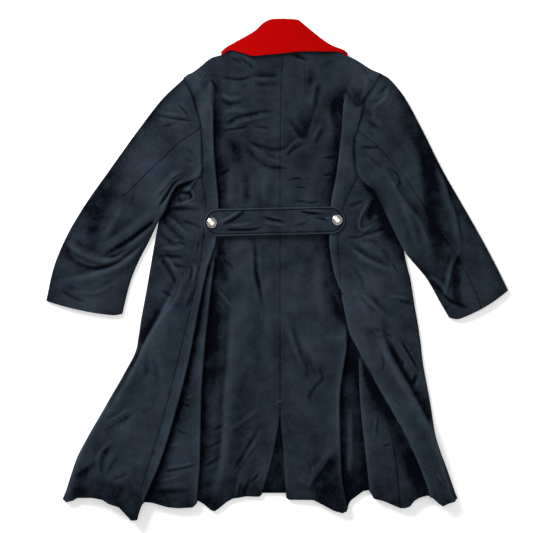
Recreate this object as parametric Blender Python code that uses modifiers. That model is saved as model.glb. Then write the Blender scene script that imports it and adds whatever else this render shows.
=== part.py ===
"""Military greatcoat laid flat on its front, back upward, collar towards +Y.

Melton wool walls: two backs with pleats and a centre vent, two side bodies, two fronts underneath,
two-piece sleeves, a turned-down collar with its stand, a half belt and its two domed buttons.
Tables are in millimetres. "drop" runs down the coat from the top of the collar, "out" runs outwards
from the centre back seam, on the left (-X) or on the right (+X) half of the coat.
"""

import math

import bmesh
import bpy
import numpy as np

MM = 0.001
LEFT, RIGHT = -1, 1

# Cloth and how closely it lies
WALL = 2.5
SEAM_GAP = 0.3
SEAM_LEAN = 0.9
ARMHOLE_EASE = 0.5
FLOOR_LEVEL = WALL / 2
FRONT_STEP = 3.3
UNDERLAP_LEVEL = 7.3
PLEAT_RISE = 8.0
FADE = 40.0
RAMP_HALF = 8.0
RAMP_SPREAD = 8.0
SHARP_LAP = 8.0

# Levels of the middle of the wall over the floor
OVERLAP_HALF = 110.0
OVERLAP_SLOPE = 25.0
BACK_LEVEL_MID = 10.0
BACK_LEVEL_OUT = 7.2
SIDE_EDGE_LEVEL = 6.0
SIDE_TURN = (SIDE_EDGE_LEVEL - FLOOR_LEVEL) / 2
NECK_LIFT = 3.0
NECK_LIFT_DROPS = (240.0, 330.0)
NECK_LAG = 40.0

HEM_LINE = 1152.0
HEM_SHAPED = 900.0
FRONT_HEM = 1116.0
VENT_TOP = 915.0
SIDE_RETURN = 45.0

NAVY = (0.021, 0.028, 0.040, 1.0)
SCARLET = (0.47, 0.004, 0.004, 1.0)
NICKEL = (0.80, 0.77, 0.68, 1.0)


def table(names, *rows):
    """Columns by name from rows of numbers; the first column is what the others depend on."""
    columns = np.array(rows, float).T
    return dict(zip(names.split(), columns, strict=True))


# Left half, from the shoulder down: where the armhole and side seam, the flap's folded edge, the inner
# pleat's folded edge and the centre edge run, and how far each pleat laps. A negative lap fades out.
LEFT_BACK = table(
    "drop seam flap flap_lap pleat pleat_lap",
    (142, 234, 166, -40, 130, -40),
    (192, 211, 163, 0, 132, -40),
    (264, 192, 164, 12, 134, -40),
    (365, 191, 158, 18, 136, -40),
    (444, 181, 152, 20, 140, -40),
    (523, 186, 157, 20, 148, -24),
    (600, 196, 179, 18, 164, 12),
    (696, 217, 199, 20, 175, 20),
    (816, 246, 222, 22, 187, 24),
    (915, 271, 247, 24, 193, 24),
    (1056, 314, 292, 24, 196, 24),
    (1152, 344, 331, 22, 203, 22),
)

# Right half: the same, with the centre panel's own folded edge, and the flap's edge passing from the
# back to the side body where it crosses the side seam.
RIGHT_BACK = table(
    "drop seam flap flap_lap pleat pleat_lap fold fold_lap",
    (142, 248, 170, -40, 130, -40, 95, -40),
    (192, 216, 150, -14, 116, -40, 85, -40),
    (264, 182, 145, 12, 106, -40, 75, -40),
    (365, 181, 133, 18, 96, -40, 65, -40),
    (444, 150, 119, 20, 82, -40, 50, -40),
    (523, 134, 115, 14, 78, -40, 46, -40),
    (600, 142, 124, 12, 86, -40, 54, -40),
    (672, 149, 136, -6, 100, -40, 68, -40),
    (744, 166, 150, -40, 122, -34, 92, -16),
    (816, 212, 197, -40, 176, 0, 150, 8),
    (915, 246, 231, -40, 189, 10, 138, 16),
    (1056, 274, 259, -40, 202, 14, 142, 16),
    (1152, 283, 268, -40, 211, 12, 158, 12),
)

# Centre back seam down to the vent, then how far each back's edge opens from it.
CENTRE = table(
    "drop across left_open right_open",
    (58, 4, 0, 0),
    (192, -1, 0, 0),
    (365, -3, 0, 0),
    (915, -3, 0, 0),
    (1056, -2, 20, 7),
    (1152, -2, 46, 14),
)

# Side bodies: the coat's outline, the ridge where the flap rides over the side, its height, and the
# flap's folded edge below the crossing on the right.
LEFT_SIDE = table(
    "drop outline ridge ridge_rise flap flap_lap",
    (370, 276, 240, 0, 200, -40),
    (485, 289, 240, 0, 200, -40),
    (600, 311, 232, 0, 212, -40),
    (696, 329, 270, 5, 236, -40),
    (756, 341, 308, 8, 262, -40),
    (816, 351, 322, 8, 270, -40),
    (876, 383, 352, 8, 290, -40),
    (936, 421, 390, 8, 310, -40),
    (1056, 490, 456, 7, 350, -40),
    (1152, 524, 492, 6, 380, -40),
)
RIGHT_SIDE = table(
    "drop outline ridge ridge_rise flap flap_lap",
    (379, 278, 240, 0, 200, -40),
    (551, 290, 244, 0, 190, -40),
    (600, 298, 242, 0, 186, -36),
    (672, 315, 238, 0, 166, -14),
    (744, 328, 236, 4, 163, 18),
    (816, 337, 266, 8, 192, 28),
    (915, 355, 318, 11, 252, 26),
    (996, 368, 340, 14, 306, 20),
    (1056, 390, 362, 14, 335, 16),
    (1152, 421, 396, 13, 376, 12),
)

# Edges that end a panel: the back's neck and shoulder, the fronts' neck, the side bodies' underarm.
BACK_TOP = table(
    "out drop", (0, 58), (60, 61), (104, 70), (124, 84), (142, 93), (176, 102), (205, 119), (248, 139)
)
LEFT_UNDERARM = table("out drop", (192, 372), (224, 390), (256, 412), (280, 446), (289, 486))
RIGHT_UNDERARM = table("out drop", (182, 376), (204, 407), (234, 450), (266, 516), (290, 552))
UNDERARM_STATION = 5
FRONT_TOP = table(
    "across drop", (-250, 143), (-205, 122), (-172, 102), (-126, 88), (-100, 116), (-55, 142), (0, 150),
    (55, 142), (100, 116), (126, 88), (172, 102), (205, 122), (250, 143)
)

# Hem lobes across the coat, as they lie.
HEM = table(
    "across drop",
    (-530, 1150), (-490, 1144), (-435, 1144), (-405, 1164), (-370, 1184), (-355, 1197), (-346, 1192),
    (-334, 1168), (-326, 1152), (-285, 1162), (-215, 1165), (-203, 1156), (-196, 1158), (-166, 1178),
    (-140, 1170), (-110, 1146), (-75, 1141), (-52, 1138), (4, 1138), (14, 1150), (60, 1150),
    (90, 1160), (140, 1182), (156, 1176), (166, 1150), (208, 1128), (216, 1146), (262, 1160),
    (296, 1168), (318, 1146), (350, 1138), (372, 1148), (384, 1164), (400, 1156), (424, 1150),
)

# Sleeves from armhole to cuff: the outer and inner edges of the flattened sleeve, how far the station
# bows towards the body, where the back seam lies across it, and how high its inner edge is carried.
SLEEVE_COLUMNS = "along outer outer_drop inner inner_drop bow seam inner_lift crown"
LEFT_SLEEVE = table(
    SLEEVE_COLUMNS,
    (0.00, 236, 142, 206, 366, 26, 0.55, 7, 7),
    (0.12, 284, 190, 254, 396, 16, 0.57, 6, 7),
    (0.28, 340, 262, 286, 436, 8, 0.55, 4, 5),
    (0.45, 409, 358, 296, 480, 0, 0.44, 1, 4),
    (0.62, 476, 454, 316, 526, -4, 0.38, 0, 5),
    (0.76, 517, 526, 342, 576, 0, 0.36, 0, 4),
    (0.88, 546, 598, 362, 624, 2, 0.36, 0, 2),
    (1.00, 563, 674, 384, 710, -6, 0.36, 0, 1),
)
RIGHT_SLEEVE = table(
    SLEEVE_COLUMNS,
    (0.00, 250, 133, 188, 374, 22, 0.53, 7, 7),
    (0.12, 294, 190, 209, 398, 14, 0.54, 6, 7),
    (0.28, 335, 262, 237, 437, 8, 0.54, 4, 5),
    (0.45, 383, 358, 269, 504, 0, 0.50, 1, 4),
    (0.62, 438, 454, 297, 557, 0, 0.47, 0, 5),
    (0.76, 479, 526, 350, 622, 0, 0.49, 0, 4),
    (0.88, 517, 598, 381, 677, -4, 0.51, 0, 3),
    (1.00, 542, 649, 408, 723, -8, 0.52, 0, 1),
)
FOREARM_SEAM = 0.60

# Collar: its rolled top edge and its outer edge over the back, then the plain wings under the fronts.
COLLAR_ROLL = table(
    "across drop", (-143, 76), (-124, 64), (-92, 46), (-62, 28), (-40, 8), (-22, 1), (0, 0), (36, 2),
    (58, 18), (98, 50), (122, 65), (146, 74), (157, 80)
)
COLLAR_EDGE = table(
    "across drop", (-143, 84), (-122, 75), (-98, 80), (-66, 89), (-36, 86), (0, 83), (50, 78),
    (125, 78), (145, 81), (157, 87)
)
COLLAR_ENDS = (-143.0, 157.0)
COLLAR_ROLL_LEVEL = 13.0
COLLAR_EDGE_LEVEL = 21.5
COLLAR_SIDE_LEVEL = 15.5
STAND_LEVELS = (7.0, 13.0)
STAND_HALF = 68.0
STAND_DROPS = (14.0, 57.6)
WING_TIP = (12.0, 150.0)
WING_POINT_DROP = 205.0

# Half belt and its buttons
BELT_LENGTH = 338.0
BELT_WIDTH = 66.0
BELT_THICK = 4.0
BELT_CENTRE = (-17.0, 484.0)
BELT_TILT = math.radians(1.3)
BELT_LEVEL = 21.6
BUTTON_PITCH = 300.0
BUTTON_RADIUS = 12.0
BUTTON_HEIGHT = 8.0
BUTTON_RIM = 1.6

# Broad folds raised in the walls: from one end to the other, half width and height
FOLD_COLUMNS = "from_out from_drop to_out to_drop half_width height"
LEFT_BACK_FOLDS = table(
    FOLD_COLUMNS,
    (100, 560, 128, 1160, 34, 7),
    (60, 540, 40, 900, 28, 4),
    (52, 230, 110, 330, 36, 4),
)
RIGHT_BACK_FOLDS = table(
    FOLD_COLUMNS,
    (40, 560, 60, 1120, 40, 4),
    (60, 250, 90, 420, 34, 4),
    (106, 1060, 124, 1190, 30, 6),
)
NO_FOLDS = table(FOLD_COLUMNS, (0, 0, 0, 1, 1, 0))
LEFT_SIDE_FOLDS = table(FOLD_COLUMNS, (300, 900, 400, 1150, 50, 5), (230, 500, 270, 540, 26, 3))
RIGHT_SIDE_FOLDS = table(FOLD_COLUMNS, (200, 520, 262, 600, 34, 5), (250, 660, 300, 760, 34, 4))
LEFT_SLEEVE_FOLDS = table(
    FOLD_COLUMNS,
    (330, 300, 440, 520, 30, 6),
    (345, 560, 470, 590, 26, 8),
    (360, 630, 520, 640, 24, 4),
)
RIGHT_SLEEVE_FOLDS = table(
    FOLD_COLUMNS,
    (390, 330, 424, 560, 28, 7),
    (290, 400, 370, 560, 34, 5),
    (395, 640, 424, 590, 24, 6),
)


def smooth(at, columns, name):
    """One column at any place between the table's rows, by a monotone cubic."""
    keys = list(columns)
    places, values = columns[keys[0]], columns[name]
    steps = np.diff(places)
    slopes = np.diff(values) / steps
    same_way = slopes[:-1] * slopes[1:] > 0
    sums = np.where(same_way, slopes[:-1] + slopes[1:], 1.0)
    inner = np.where(same_way, 2 * slopes[:-1] * slopes[1:] / sums, 0.0)
    tangents = np.concatenate([slopes[:1], inner, slopes[-1:]])
    i = int(np.clip(np.searchsorted(places, at) - 1, 0, len(steps) - 1))
    t = float(np.clip((at - places[i]) / steps[i], 0, 1))
    rise = (3 - 2 * t) * t * t
    return float(
        values[i] * (1 - rise)
        + values[i + 1] * rise
        + steps[i] * (tangents[i] * t * (1 - t) ** 2 - tangents[i + 1] * t * t * (1 - t))
    )


def ease(value, start, end):
    """0 before start, 1 after end, smooth between."""
    t = min(1.0, max(0.0, (value - start) / (end - start)))
    return t * t * (3 - 2 * t)


def hem_drop(across):
    return float(np.interp(across, HEM["across"], HEM["drop"]))


def neck_lift(drop):
    """How far the collar's wings hold up what lies over them, by the neck."""
    return NECK_LIFT * (1 - ease(drop, *NECK_LIFT_DROPS))


def back_level(out, drop):
    """The level at which the back rests on the fronts, higher over their overlap."""
    over = ease(-abs(out), -OVERLAP_HALF - OVERLAP_SLOPE, -OVERLAP_HALF + SEAM_GAP)
    return BACK_LEVEL_OUT + (BACK_LEVEL_MID - BACK_LEVEL_OUT) * over + neck_lift(drop - NECK_LAG)


def strength(lap):
    """A pleat's share of its full rise: all of it once it laps, less as it fades out."""
    return min(1.0, max(0.0, 1 + min(lap, 0.0) / FADE))


def pleat(edge, lap, level, rise, outer_over, turn_points=4):
    """(out, level) points of one pleat, walking outwards. The wall runs out, doubles back and runs out
    again, or climbs a plain ramp where the pleat has faded."""
    inner, outer = (edge, edge + lap) if outer_over else (edge - lap, edge)
    radius = abs(rise) / 4
    way = 1 if rise >= 0 else -1
    half = RAMP_HALF + max(0.0, -lap) / RAMP_SPREAD
    sharp = min(1.0, max(0.0, lap / SHARP_LAP))
    points = []
    for k in range(2 * turn_points):
        share = k / (2 * turn_points - 1)
        ramp = np.array([edge + half * (2 * share - 1), level + rise * ease(share, 0, 1)])
        angle = math.pi * (k % turn_points) / (turn_points - 1)
        bulge, climb = radius * math.sin(angle), radius * (1 - math.cos(angle))
        if k < turn_points:
            turn = np.array([outer - radius + bulge, level + way * climb])
        else:
            turn = np.array([inner + radius - bulge, level + way * (2 * radius + climb)])
        points.append(tuple(ramp * (1 - sharp) + turn * sharp))
    return points


def run(start, end, between):
    """Points between two others, without them."""
    return [
        tuple(start[i] + (end[i] - start[i]) * k / (between + 1) for i in range(len(start)))
        for k in range(1, between + 1)
    ]


def fold_lift(out, drop, folds):
    """How much the broad folds raise the wall at a place."""
    lift = 0.0
    for x0, y0, x1, y1, half, height in zip(*folds.values(), strict=True):
        length = math.hypot(x1 - x0, y1 - y0)
        along = ((out - x0) * (x1 - x0) + (drop - y0) * (y1 - y0)) / length
        beside = ((out - x0) * (y1 - y0) - (drop - y0) * (x1 - x0)) / length
        ends = ease(along, -half, half) * (1 - ease(along, length - half, length + half))
        lift += height * ends * math.exp(-((beside / (0.6 * half)) ** 2))
    return lift


def back_folds(side, drop):
    """The pleats of one back at a drop, from the centre outwards: edge, lap, rise, outer part over."""
    lines = LEFT_BACK if side == LEFT else RIGHT_BACK
    names = ("pleat", "flap") if side == LEFT else ("fold", "pleat", "flap")
    found = []
    for name in names:
        lap = smooth(drop, lines, name + "_lap")
        over = name != "fold"
        rise = PLEAT_RISE * strength(lap) * (1 if over else -1)
        found.append((smooth(drop, lines, name), lap, rise, over))
    return found


def centre_out(side, drop):
    """How far out a back's centre edge lies, past the seam and the opening of the vent."""
    opening = smooth(drop, CENTRE, "left_open" if side == LEFT else "right_open")
    return side * smooth(drop, CENTRE, "across") + opening + SEAM_GAP / 2


def line_drop(top, share):
    return top + (HEM_LINE - top) * share


def lay(points, side, share, folds):
    """(across, drop, level) from (out, level, top drop) points at one share of the panel's length."""
    placed = []
    for out, level, top in points:
        drop = line_drop(top, share)
        drop += (hem_drop(side * out) - HEM_LINE) * ease(drop, HEM_SHAPED, HEM_LINE)
        placed.append((side * out, drop, level + fold_lift(out, drop, folds)))
    return placed


def back_section(side, share):
    """Points of a back at one share of its length, from the centre edge to the armhole or side seam."""
    lines = LEFT_BACK if side == LEFT else RIGHT_BACK
    names = ("pleat", "flap") if side == LEFT else ("fold", "pleat", "flap")
    centre_top = smooth(0, BACK_TOP, "drop")
    drop = line_drop(centre_top, share)
    centre = centre_out(side, drop)
    points = [(centre, back_level(centre, drop), centre_top)]
    for place, name in enumerate(names):
        top = smooth(lines[name][0], BACK_TOP, "drop")
        drop = line_drop(top, share)
        edge, lap, rise, over = back_folds(side, drop)[place]
        if place == 0:
            level = back_level(edge, drop) - min(0.0, rise)
        turned = [(out, height, top) for out, height in pleat(edge, lap, level, rise, over)]
        between = run(points[-1], turned[0], CENTRE_RUN if place == 0 else PLEAT_RUN)
        if place == 0:
            sunk = back_level(edge, drop) - level
            between = [
                (out, back_level(out, line_drop(above, share)) - sunk * k / CENTRE_RUN, above)
                for k, (out, _, above) in enumerate(between)
            ]
        points += between + turned
        level += rise
    top = smooth(lines["seam"][0], BACK_TOP, "drop")
    seam = (smooth(line_drop(top, share), lines, "seam") - SEAM_GAP / 2, level, top)
    points += run(points[-1], seam, EDGE_RUN) + [seam]
    return lay(points, side, share, LEFT_BACK_FOLDS if side == LEFT else RIGHT_BACK_FOLDS)


def side_walk(side, share):
    """(out, level) points of a side body, from the side seam over flap and ridge to the outline."""
    lines = LEFT_SIDE if side == LEFT else RIGHT_SIDE
    back = LEFT_BACK if side == LEFT else RIGHT_BACK
    underarm = LEFT_UNDERARM if side == LEFT else RIGHT_UNDERARM
    first = UNDERARM_STATION / (BACK_STATIONS - 1)
    seam, _, level = back_section(side, first + (1 - first) * share)[-1]
    points = [(abs(seam) + SEAM_LEAN, level)]
    drop = line_drop(underarm_top(side), share)
    if side == RIGHT:
        lap = smooth(drop, lines, "flap_lap")
        rise = PLEAT_RISE * strength(lap)
        turned = pleat(smooth(drop, lines, "flap"), lap, level, rise, True)
        points += run(points[-1], turned[0], EDGE_RUN) + turned
        level += rise
        hidden = max(smooth(drop, lines, "flap") + lap, points[-1][0])
    else:
        hidden = max(smooth(drop, back, "flap") + smooth(drop, back, "flap_lap"), points[0][0])
    shoulder = (hidden + SHOULDER_REACH, level)
    points.append(shoulder)
    drop = line_drop(smooth(lines["ridge"][0], underarm, "drop"), share)
    foot = SIDE_EDGE_LEVEL + SIDE_FOOT
    reach = max(smooth(drop, lines, "ridge") - RIDGE_HALF, shoulder[0] + 2)
    crest = (reach, foot + smooth(drop, lines, "ridge_rise"))
    points += run(points[-1], crest, SIDE_RUN) + [crest]
    outline = smooth(line_drop(underarm["drop"][-1], share), lines, "outline")
    below = (outline - SIDE_TURN, SIDE_EDGE_LEVEL)
    points += [(reach + min(2 * RIDGE_HALF, 0.6 * (below[0] - reach)), foot)]
    points += run(points[-1], below, EDGE_RUN)
    return points, outline


def underarm_top(side):
    """The drop at which the side seam starts, on one of the back's stations."""
    back = LEFT_BACK if side == LEFT else RIGHT_BACK
    shoulder = smooth(back["seam"][0], BACK_TOP, "drop")
    return line_drop(shoulder, UNDERARM_STATION / (BACK_STATIONS - 1))


def side_section(side, share):
    """Points of a side body: the walk to the outline, the turn there and the return along the floor."""
    underarm = LEFT_UNDERARM if side == LEFT else RIGHT_UNDERARM
    start, _ = side_walk(side, 0.0)
    walk, outline = side_walk(side, share)
    points = [(*walk[0], underarm_top(side))]
    for (out, level), (first_out, _) in zip(walk[1:], start[1:], strict=True):
        points.append((out, level, max(underarm_top(side), smooth(first_out, underarm, "drop"))))
    laid = lay(points, side, share, LEFT_SIDE_FOLDS if side == LEFT else RIGHT_SIDE_FOLDS)
    edge_top = underarm["drop"][-1]
    turned = []
    for k in range(TURN_POINTS):
        angle = math.pi * k / (TURN_POINTS - 1)
        out = outline - SIDE_TURN * (1 - math.sin(angle))
        turned.append((out, SIDE_EDGE_LEVEL - SIDE_TURN * (1 - math.cos(angle)), edge_top))
    turned.append((outline - SIDE_RETURN, FLOOR_LEVEL, edge_top))
    return laid + lay(turned, side, share, NO_FOLDS)


def front_section(side, share):
    """Points of a front, from its armhole or side edge to the front edge past the centre."""
    lines = LEFT_SIDE if side == LEFT else RIGHT_SIDE
    back = LEFT_BACK if side == LEFT else RIGHT_BACK
    shoulder = smooth(side * back["seam"][0], FRONT_TOP, "drop")
    drop = shoulder + (FRONT_HEM - shoulder) * share
    armhole = smooth(drop, back, "seam") - FRONT_SET_IN
    seam = smooth(drop, lines, "outline") - SIDE_RETURN - FRONT_SEAM_EASE
    underarm = LEFT_UNDERARM if side == LEFT else RIGHT_UNDERARM
    part = ease(drop, FRONT_UNDERARM, underarm["drop"][-1])
    outer = side * (armhole * (1 - part) + seam * part)
    inner = -side * OVERLAP_HALF
    points = []
    for k in range(FRONT_POINTS):
        across = outer + (inner - outer) * k / (FRONT_POINTS - 1)
        top = smooth(across, FRONT_TOP, "drop")
        here = top + (FRONT_HEM - top) * share
        level = FLOOR_LEVEL + neck_lift(here)
        if side == RIGHT:
            level += FRONT_STEP * ease(OVERLAP_HALF + 2 * OVERLAP_SLOPE - across, 0, OVERLAP_SLOPE / 2)
        points.append((across, here, level))
    return points


def armhole_chords(side):
    """Drops and outs of the back's stations along the armhole, between which its edge is straight."""
    back = LEFT_BACK if side == LEFT else RIGHT_BACK
    shoulder = smooth(back["seam"][0], BACK_TOP, "drop")
    drops = [line_drop(shoulder, k / (BACK_STATIONS - 1)) for k in range(UNDERARM_STATION + 2)]
    return drops, [smooth(drop, back, "seam") for drop in drops]


def sleeve_place(side, along, across):
    """Where a sleeve lies on the floor at a share of its length and of its flat width, (out, drop)."""
    rows = LEFT_SLEEVE if side == LEFT else RIGHT_SLEEVE

    def station(place):
        outer = np.array([smooth(place, rows, "outer"), smooth(place, rows, "outer_drop")])
        inner = np.array([smooth(place, rows, "inner"), smooth(place, rows, "inner_drop")])
        way = (inner - outer) / np.linalg.norm(inner - outer)
        bow = smooth(place, rows, "bow") * 4 * across * (1 - across)
        return outer + (inner - outer) * across + np.array([-way[1], way[0]]) * bow

    drop = rows["outer_drop"][0] + (rows["inner_drop"][0] - rows["outer_drop"][0]) * across
    armhole = np.array([np.interp(drop, *armhole_chords(side)) + ARMHOLE_EASE, drop])
    return station(along) + (armhole - station(0.0)) * (1 - ease(along, 0, HEAD_LENGTH))


def sleeve_section(side, along, top_piece):
    """Points of one sleeve piece: from the back seam, round its edge and under to the forearm seam."""
    rows = LEFT_SLEEVE if side == LEFT else RIGHT_SLEEVE
    folds = LEFT_SLEEVE_FOLDS if side == LEFT else RIGHT_SLEEVE_FOLDS
    seam = smooth(along, rows, "seam")
    lift = smooth(along, rows, "inner_lift")
    crown = smooth(along, rows, "crown")
    ends = [sleeve_place(side, along, share) for share in (0.0, 1.0)]
    width = float(np.linalg.norm(ends[1] - ends[0]))
    inset = SLEEVE_EDGE / 2 / width
    gap = SEAM_GAP / 2 / width
    edge, way = (0.0, 1) if top_piece else (1.0, -1)

    def bottom(across):
        return FLOOR_LEVEL + lift * ease(across, 0.5, 1.0)

    def top(across):
        here = sleeve_place(side, along, across)
        room = min(1.0, across * 6, (1 - across) * 6)
        raised = crown * 4 * across * (1 - across) + fold_lift(*here, folds) * room
        return FLOOR_LEVEL + SLEEVE_EDGE + lift * ease(across, 0.3, 1.0) + raised

    rim = edge + way * inset
    points = []
    for k in range(SLEEVE_RUN):
        across = seam - way * gap + (rim - seam + way * gap) * k / SLEEVE_RUN
        points.append((across, top(across)))
    high, low = top(rim), bottom(rim)
    for k in range(TURN_POINTS):
        angle = math.pi * k / (TURN_POINTS - 1)
        across = rim - way * inset * math.sin(angle)
        points.append((across, high + (low - high) * (1 - math.cos(angle)) / 2))
    end = FOREARM_SEAM - way * gap
    for k in range(1, SLEEVE_UNDER_RUN + 1):
        across = rim + (end - rim) * k / SLEEVE_UNDER_RUN
        points.append((across, bottom(across)))
    placed = []
    for across, level in points:
        out, drop = sleeve_place(side, along, across)
        placed.append((side * out, drop, level))
    return placed


def collar_section(share):
    """Points of the collar fall from roll to outer edge: left wing, round the neck, right wing."""
    def wing(end, side):
        rows = []
        for k in range(WING_POINTS):
            part = k / WING_POINTS
            roll = WING_TIP[1] + (smooth(end, COLLAR_ROLL, "drop") - WING_TIP[1]) * part
            outer = WING_POINT_DROP + (smooth(end, COLLAR_EDGE, "drop") - WING_POINT_DROP) * part
            across = side * WING_TIP[0] + (end - side * WING_TIP[0]) * part
            rows.append((across, roll + (outer - roll) * share, FLOOR_LEVEL))
        return rows

    def turn(end, side):
        radius = (COLLAR_SIDE_LEVEL - FLOOR_LEVEL) / 2
        roll, outer = smooth(end, COLLAR_ROLL, "drop"), smooth(end, COLLAR_EDGE, "drop")
        rows = []
        for k in range(TURN_POINTS):
            angle = math.pi * k / (TURN_POINTS - 1)
            across = end - side * radius * (1 - math.sin(angle))
            rows.append((across, roll + (outer - roll) * share, FLOOR_LEVEL + radius * (1 - math.cos(angle))))
        return rows

    left, right = COLLAR_ENDS
    top = []
    for k in range(1, COLLAR_POINTS):
        across = left + (right - left) * k / COLLAR_POINTS
        roll, outer = smooth(across, COLLAR_ROLL, "drop"), smooth(across, COLLAR_EDGE, "drop")
        middle = COLLAR_ROLL_LEVEL + (COLLAR_EDGE_LEVEL - COLLAR_ROLL_LEVEL) * share
        part = min(1.0, 4 * k / COLLAR_POINTS, 4 * (COLLAR_POINTS - k) / COLLAR_POINTS)
        level = COLLAR_SIDE_LEVEL + (middle - COLLAR_SIDE_LEVEL) * ease(part, 0, 1)
        top.append((across, roll + (outer - roll) * share, level))
    return wing(left, LEFT) + turn(left, LEFT) + top + turn(right, RIGHT)[::-1] + wing(right, RIGHT)[::-1]


def stand_section(share):
    """Points of the collar stand, from its top under the roll to the neck seam."""
    drop = STAND_DROPS[0] + (STAND_DROPS[1] - STAND_DROPS[0]) * share
    level = STAND_LEVELS[0] + (STAND_LEVELS[1] - STAND_LEVELS[0]) * share
    half = STAND_HALF * (STAND_TAPER + (1 - STAND_TAPER) * share)
    return [(half * (2 * k / STAND_POINTS - 1), drop, level) for k in range(STAND_POINTS + 1)]


def underlap_section(share):
    """Points of the vent underlap, which widens to the hem under both edges of the vent."""
    drop = VENT_TOP + UNDERLAP_START + (UNDERLAP_HEM - VENT_TOP - UNDERLAP_START) * share
    left = -UNDERLAP_HALF - smooth(drop, CENTRE, "left_open")
    right = UNDERLAP_HALF + smooth(drop, CENTRE, "right_open")
    return [(left + (right - left) * k / UNDERLAP_POINTS, drop, UNDERLAP_LEVEL) for k in range(UNDERLAP_POINTS + 1)]


# How finely the walls are divided
CENTRE_RUN, PLEAT_RUN, EDGE_RUN, SIDE_RUN = 5, 1, 1, 4
TURN_POINTS = 5
FRONT_POINTS = 16
SLEEVE_RUN, SLEEVE_UNDER_RUN = 7, 3
WING_POINTS, COLLAR_POINTS, STAND_POINTS, UNDERLAP_POINTS = 3, 16, 6, 3
BACK_STATIONS, FRONT_STATIONS, SLEEVE_STATIONS = 23, 12, 14
SIDE_STATIONS = BACK_STATIONS - UNDERARM_STATION
COLLAR_STATIONS, STAND_STATIONS, UNDERLAP_STATIONS = 4, 3, 4

# Smaller distances of the sections
SIDE_FOOT = 1.5
RIDGE_HALF = 12.0
SHOULDER_REACH = 6.0
FRONT_SET_IN = 6.0
FRONT_SEAM_EASE = 6.0
FRONT_UNDERARM = 370.0
HEAD_LENGTH = 0.12
SLEEVE_EDGE = 4.4
STAND_TAPER = 0.6
UNDERLAP_START = 8.0
UNDERLAP_HEM = 1134.0
UNDERLAP_HALF = 22.0
BUTTON_PROFILE = table(
    "radius height", (0, 1.0), (0.35, 0.96), (0.62, 0.82), (0.80, 0.58), (0.88, 0.36), (1.0, 0.32), (1.0, 0.0)
)


def wool(name, colour, roughness):
    material = bpy.data.materials.new(name)
    material.use_nodes = True
    shader = material.node_tree.nodes["Principled BSDF"]
    shader.inputs["Base Color"].default_value = colour
    shader.inputs["Roughness"].default_value = roughness
    return material


def place(across, drop, level):
    """Metres in the part's frame, before it is centred on its box."""
    return across * MM, -drop * MM, level * MM


def cloth(name, sections, material, thickness=WALL):
    """One cut piece: a grid laid through its sections and given the cloth's thickness."""
    columns, rows = len(sections[0]), len(sections)
    mesh = bpy.data.meshes.new(name)
    grid = bmesh.new()
    bmesh.ops.create_grid(grid, x_segments=columns - 1, y_segments=rows - 1, size=0.5)
    for vert in grid.verts:
        column = round((vert.co.x + 0.5) * (columns - 1))
        row = round((vert.co.y + 0.5) * (rows - 1))
        vert.co = place(*sections[row][column])
    bmesh.ops.recalc_face_normals(grid, faces=grid.faces)
    grid.to_mesh(mesh)
    grid.free()
    mesh.materials.append(material)
    piece = bpy.data.objects.new(name, mesh)
    bpy.context.scene.collection.objects.link(piece)
    wall = piece.modifiers.new("Cloth", "SOLIDIFY")
    wall.thickness = thickness * MM
    wall.offset = 0.0
    wall.use_even_offset = False
    return piece


def shares(count):
    return [k / (count - 1) for k in range(count)]


def build_backs():
    for side, name in ((LEFT, "back_left"), (RIGHT, "back_right")):
        sections = [back_section(side, share) for share in shares(BACK_STATIONS)]
        cloth(name, sections, wool(name + " wool", NAVY, 0.9))
    sections = [underlap_section(share) for share in shares(UNDERLAP_STATIONS)]
    cloth("vent_underlap", sections, wool("vent_underlap wool", NAVY, 0.9))


def build_sides_and_fronts():
    for side, name in ((LEFT, "left"), (RIGHT, "right")):
        sections = [side_section(side, share) for share in shares(SIDE_STATIONS)]
        cloth("side_" + name, sections, wool(f"side_{name} wool", NAVY, 0.9))
        sections = [front_section(side, share) for share in shares(FRONT_STATIONS)]
        cloth("front_" + name, sections, wool(f"front_{name} wool", NAVY, 0.9))


def build_sleeves():
    for side, name in ((LEFT, "left"), (RIGHT, "right")):
        for top_piece, piece in ((True, "sleeve_top_"), (False, "sleeve_under_")):
            sections = [sleeve_section(side, along, top_piece) for along in shares(SLEEVE_STATIONS)]
            cloth(piece + name, sections, wool(f"{piece}{name} wool", NAVY, 0.9))


def build_collar():
    fall = [collar_section(share) for share in shares(COLLAR_STATIONS)]
    cloth("collar_fall", fall, wool("collar_fall wool", SCARLET, 0.85))
    stand = [stand_section(share) for share in shares(STAND_STATIONS)]
    cloth("collar_stand", stand, wool("collar_stand wool", SCARLET, 0.85))


def build_belt():
    """A strap with round ends, drawn flat and given its thickness."""
    outline = bpy.data.curves.new("half_belt", "CURVE")
    outline.dimensions = "2D"
    outline.fill_mode = "BOTH"
    outline.extrude = BELT_THICK / 2 * MM
    radius = BELT_WIDTH / 2
    reach = BELT_LENGTH / 2 - radius
    edge = outline.splines.new("POLY")
    corners = []
    for k in range(BELT_END_POINTS * 2):
        way = 1 if k < BELT_END_POINTS else -1
        angle = math.pi * (k % BELT_END_POINTS) / (BELT_END_POINTS - 1) - math.pi / 2
        corners.append((way * (reach + radius * math.cos(angle)), way * radius * math.sin(angle)))
    edge.points.add(len(corners) - 1)
    for point, (x, y) in zip(edge.points, corners, strict=True):
        point.co = (x * MM, y * MM, 0, 1)
    edge.use_cyclic_u = True
    belt = bpy.data.objects.new("half_belt", outline)
    belt.location = place(BELT_CENTRE[0], BELT_CENTRE[1], BELT_LEVEL)
    belt.rotation_euler = (0, 0, BELT_TILT)
    outline.materials.append(wool("half_belt wool", NAVY, 0.9))
    bpy.context.scene.collection.objects.link(belt)


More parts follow.
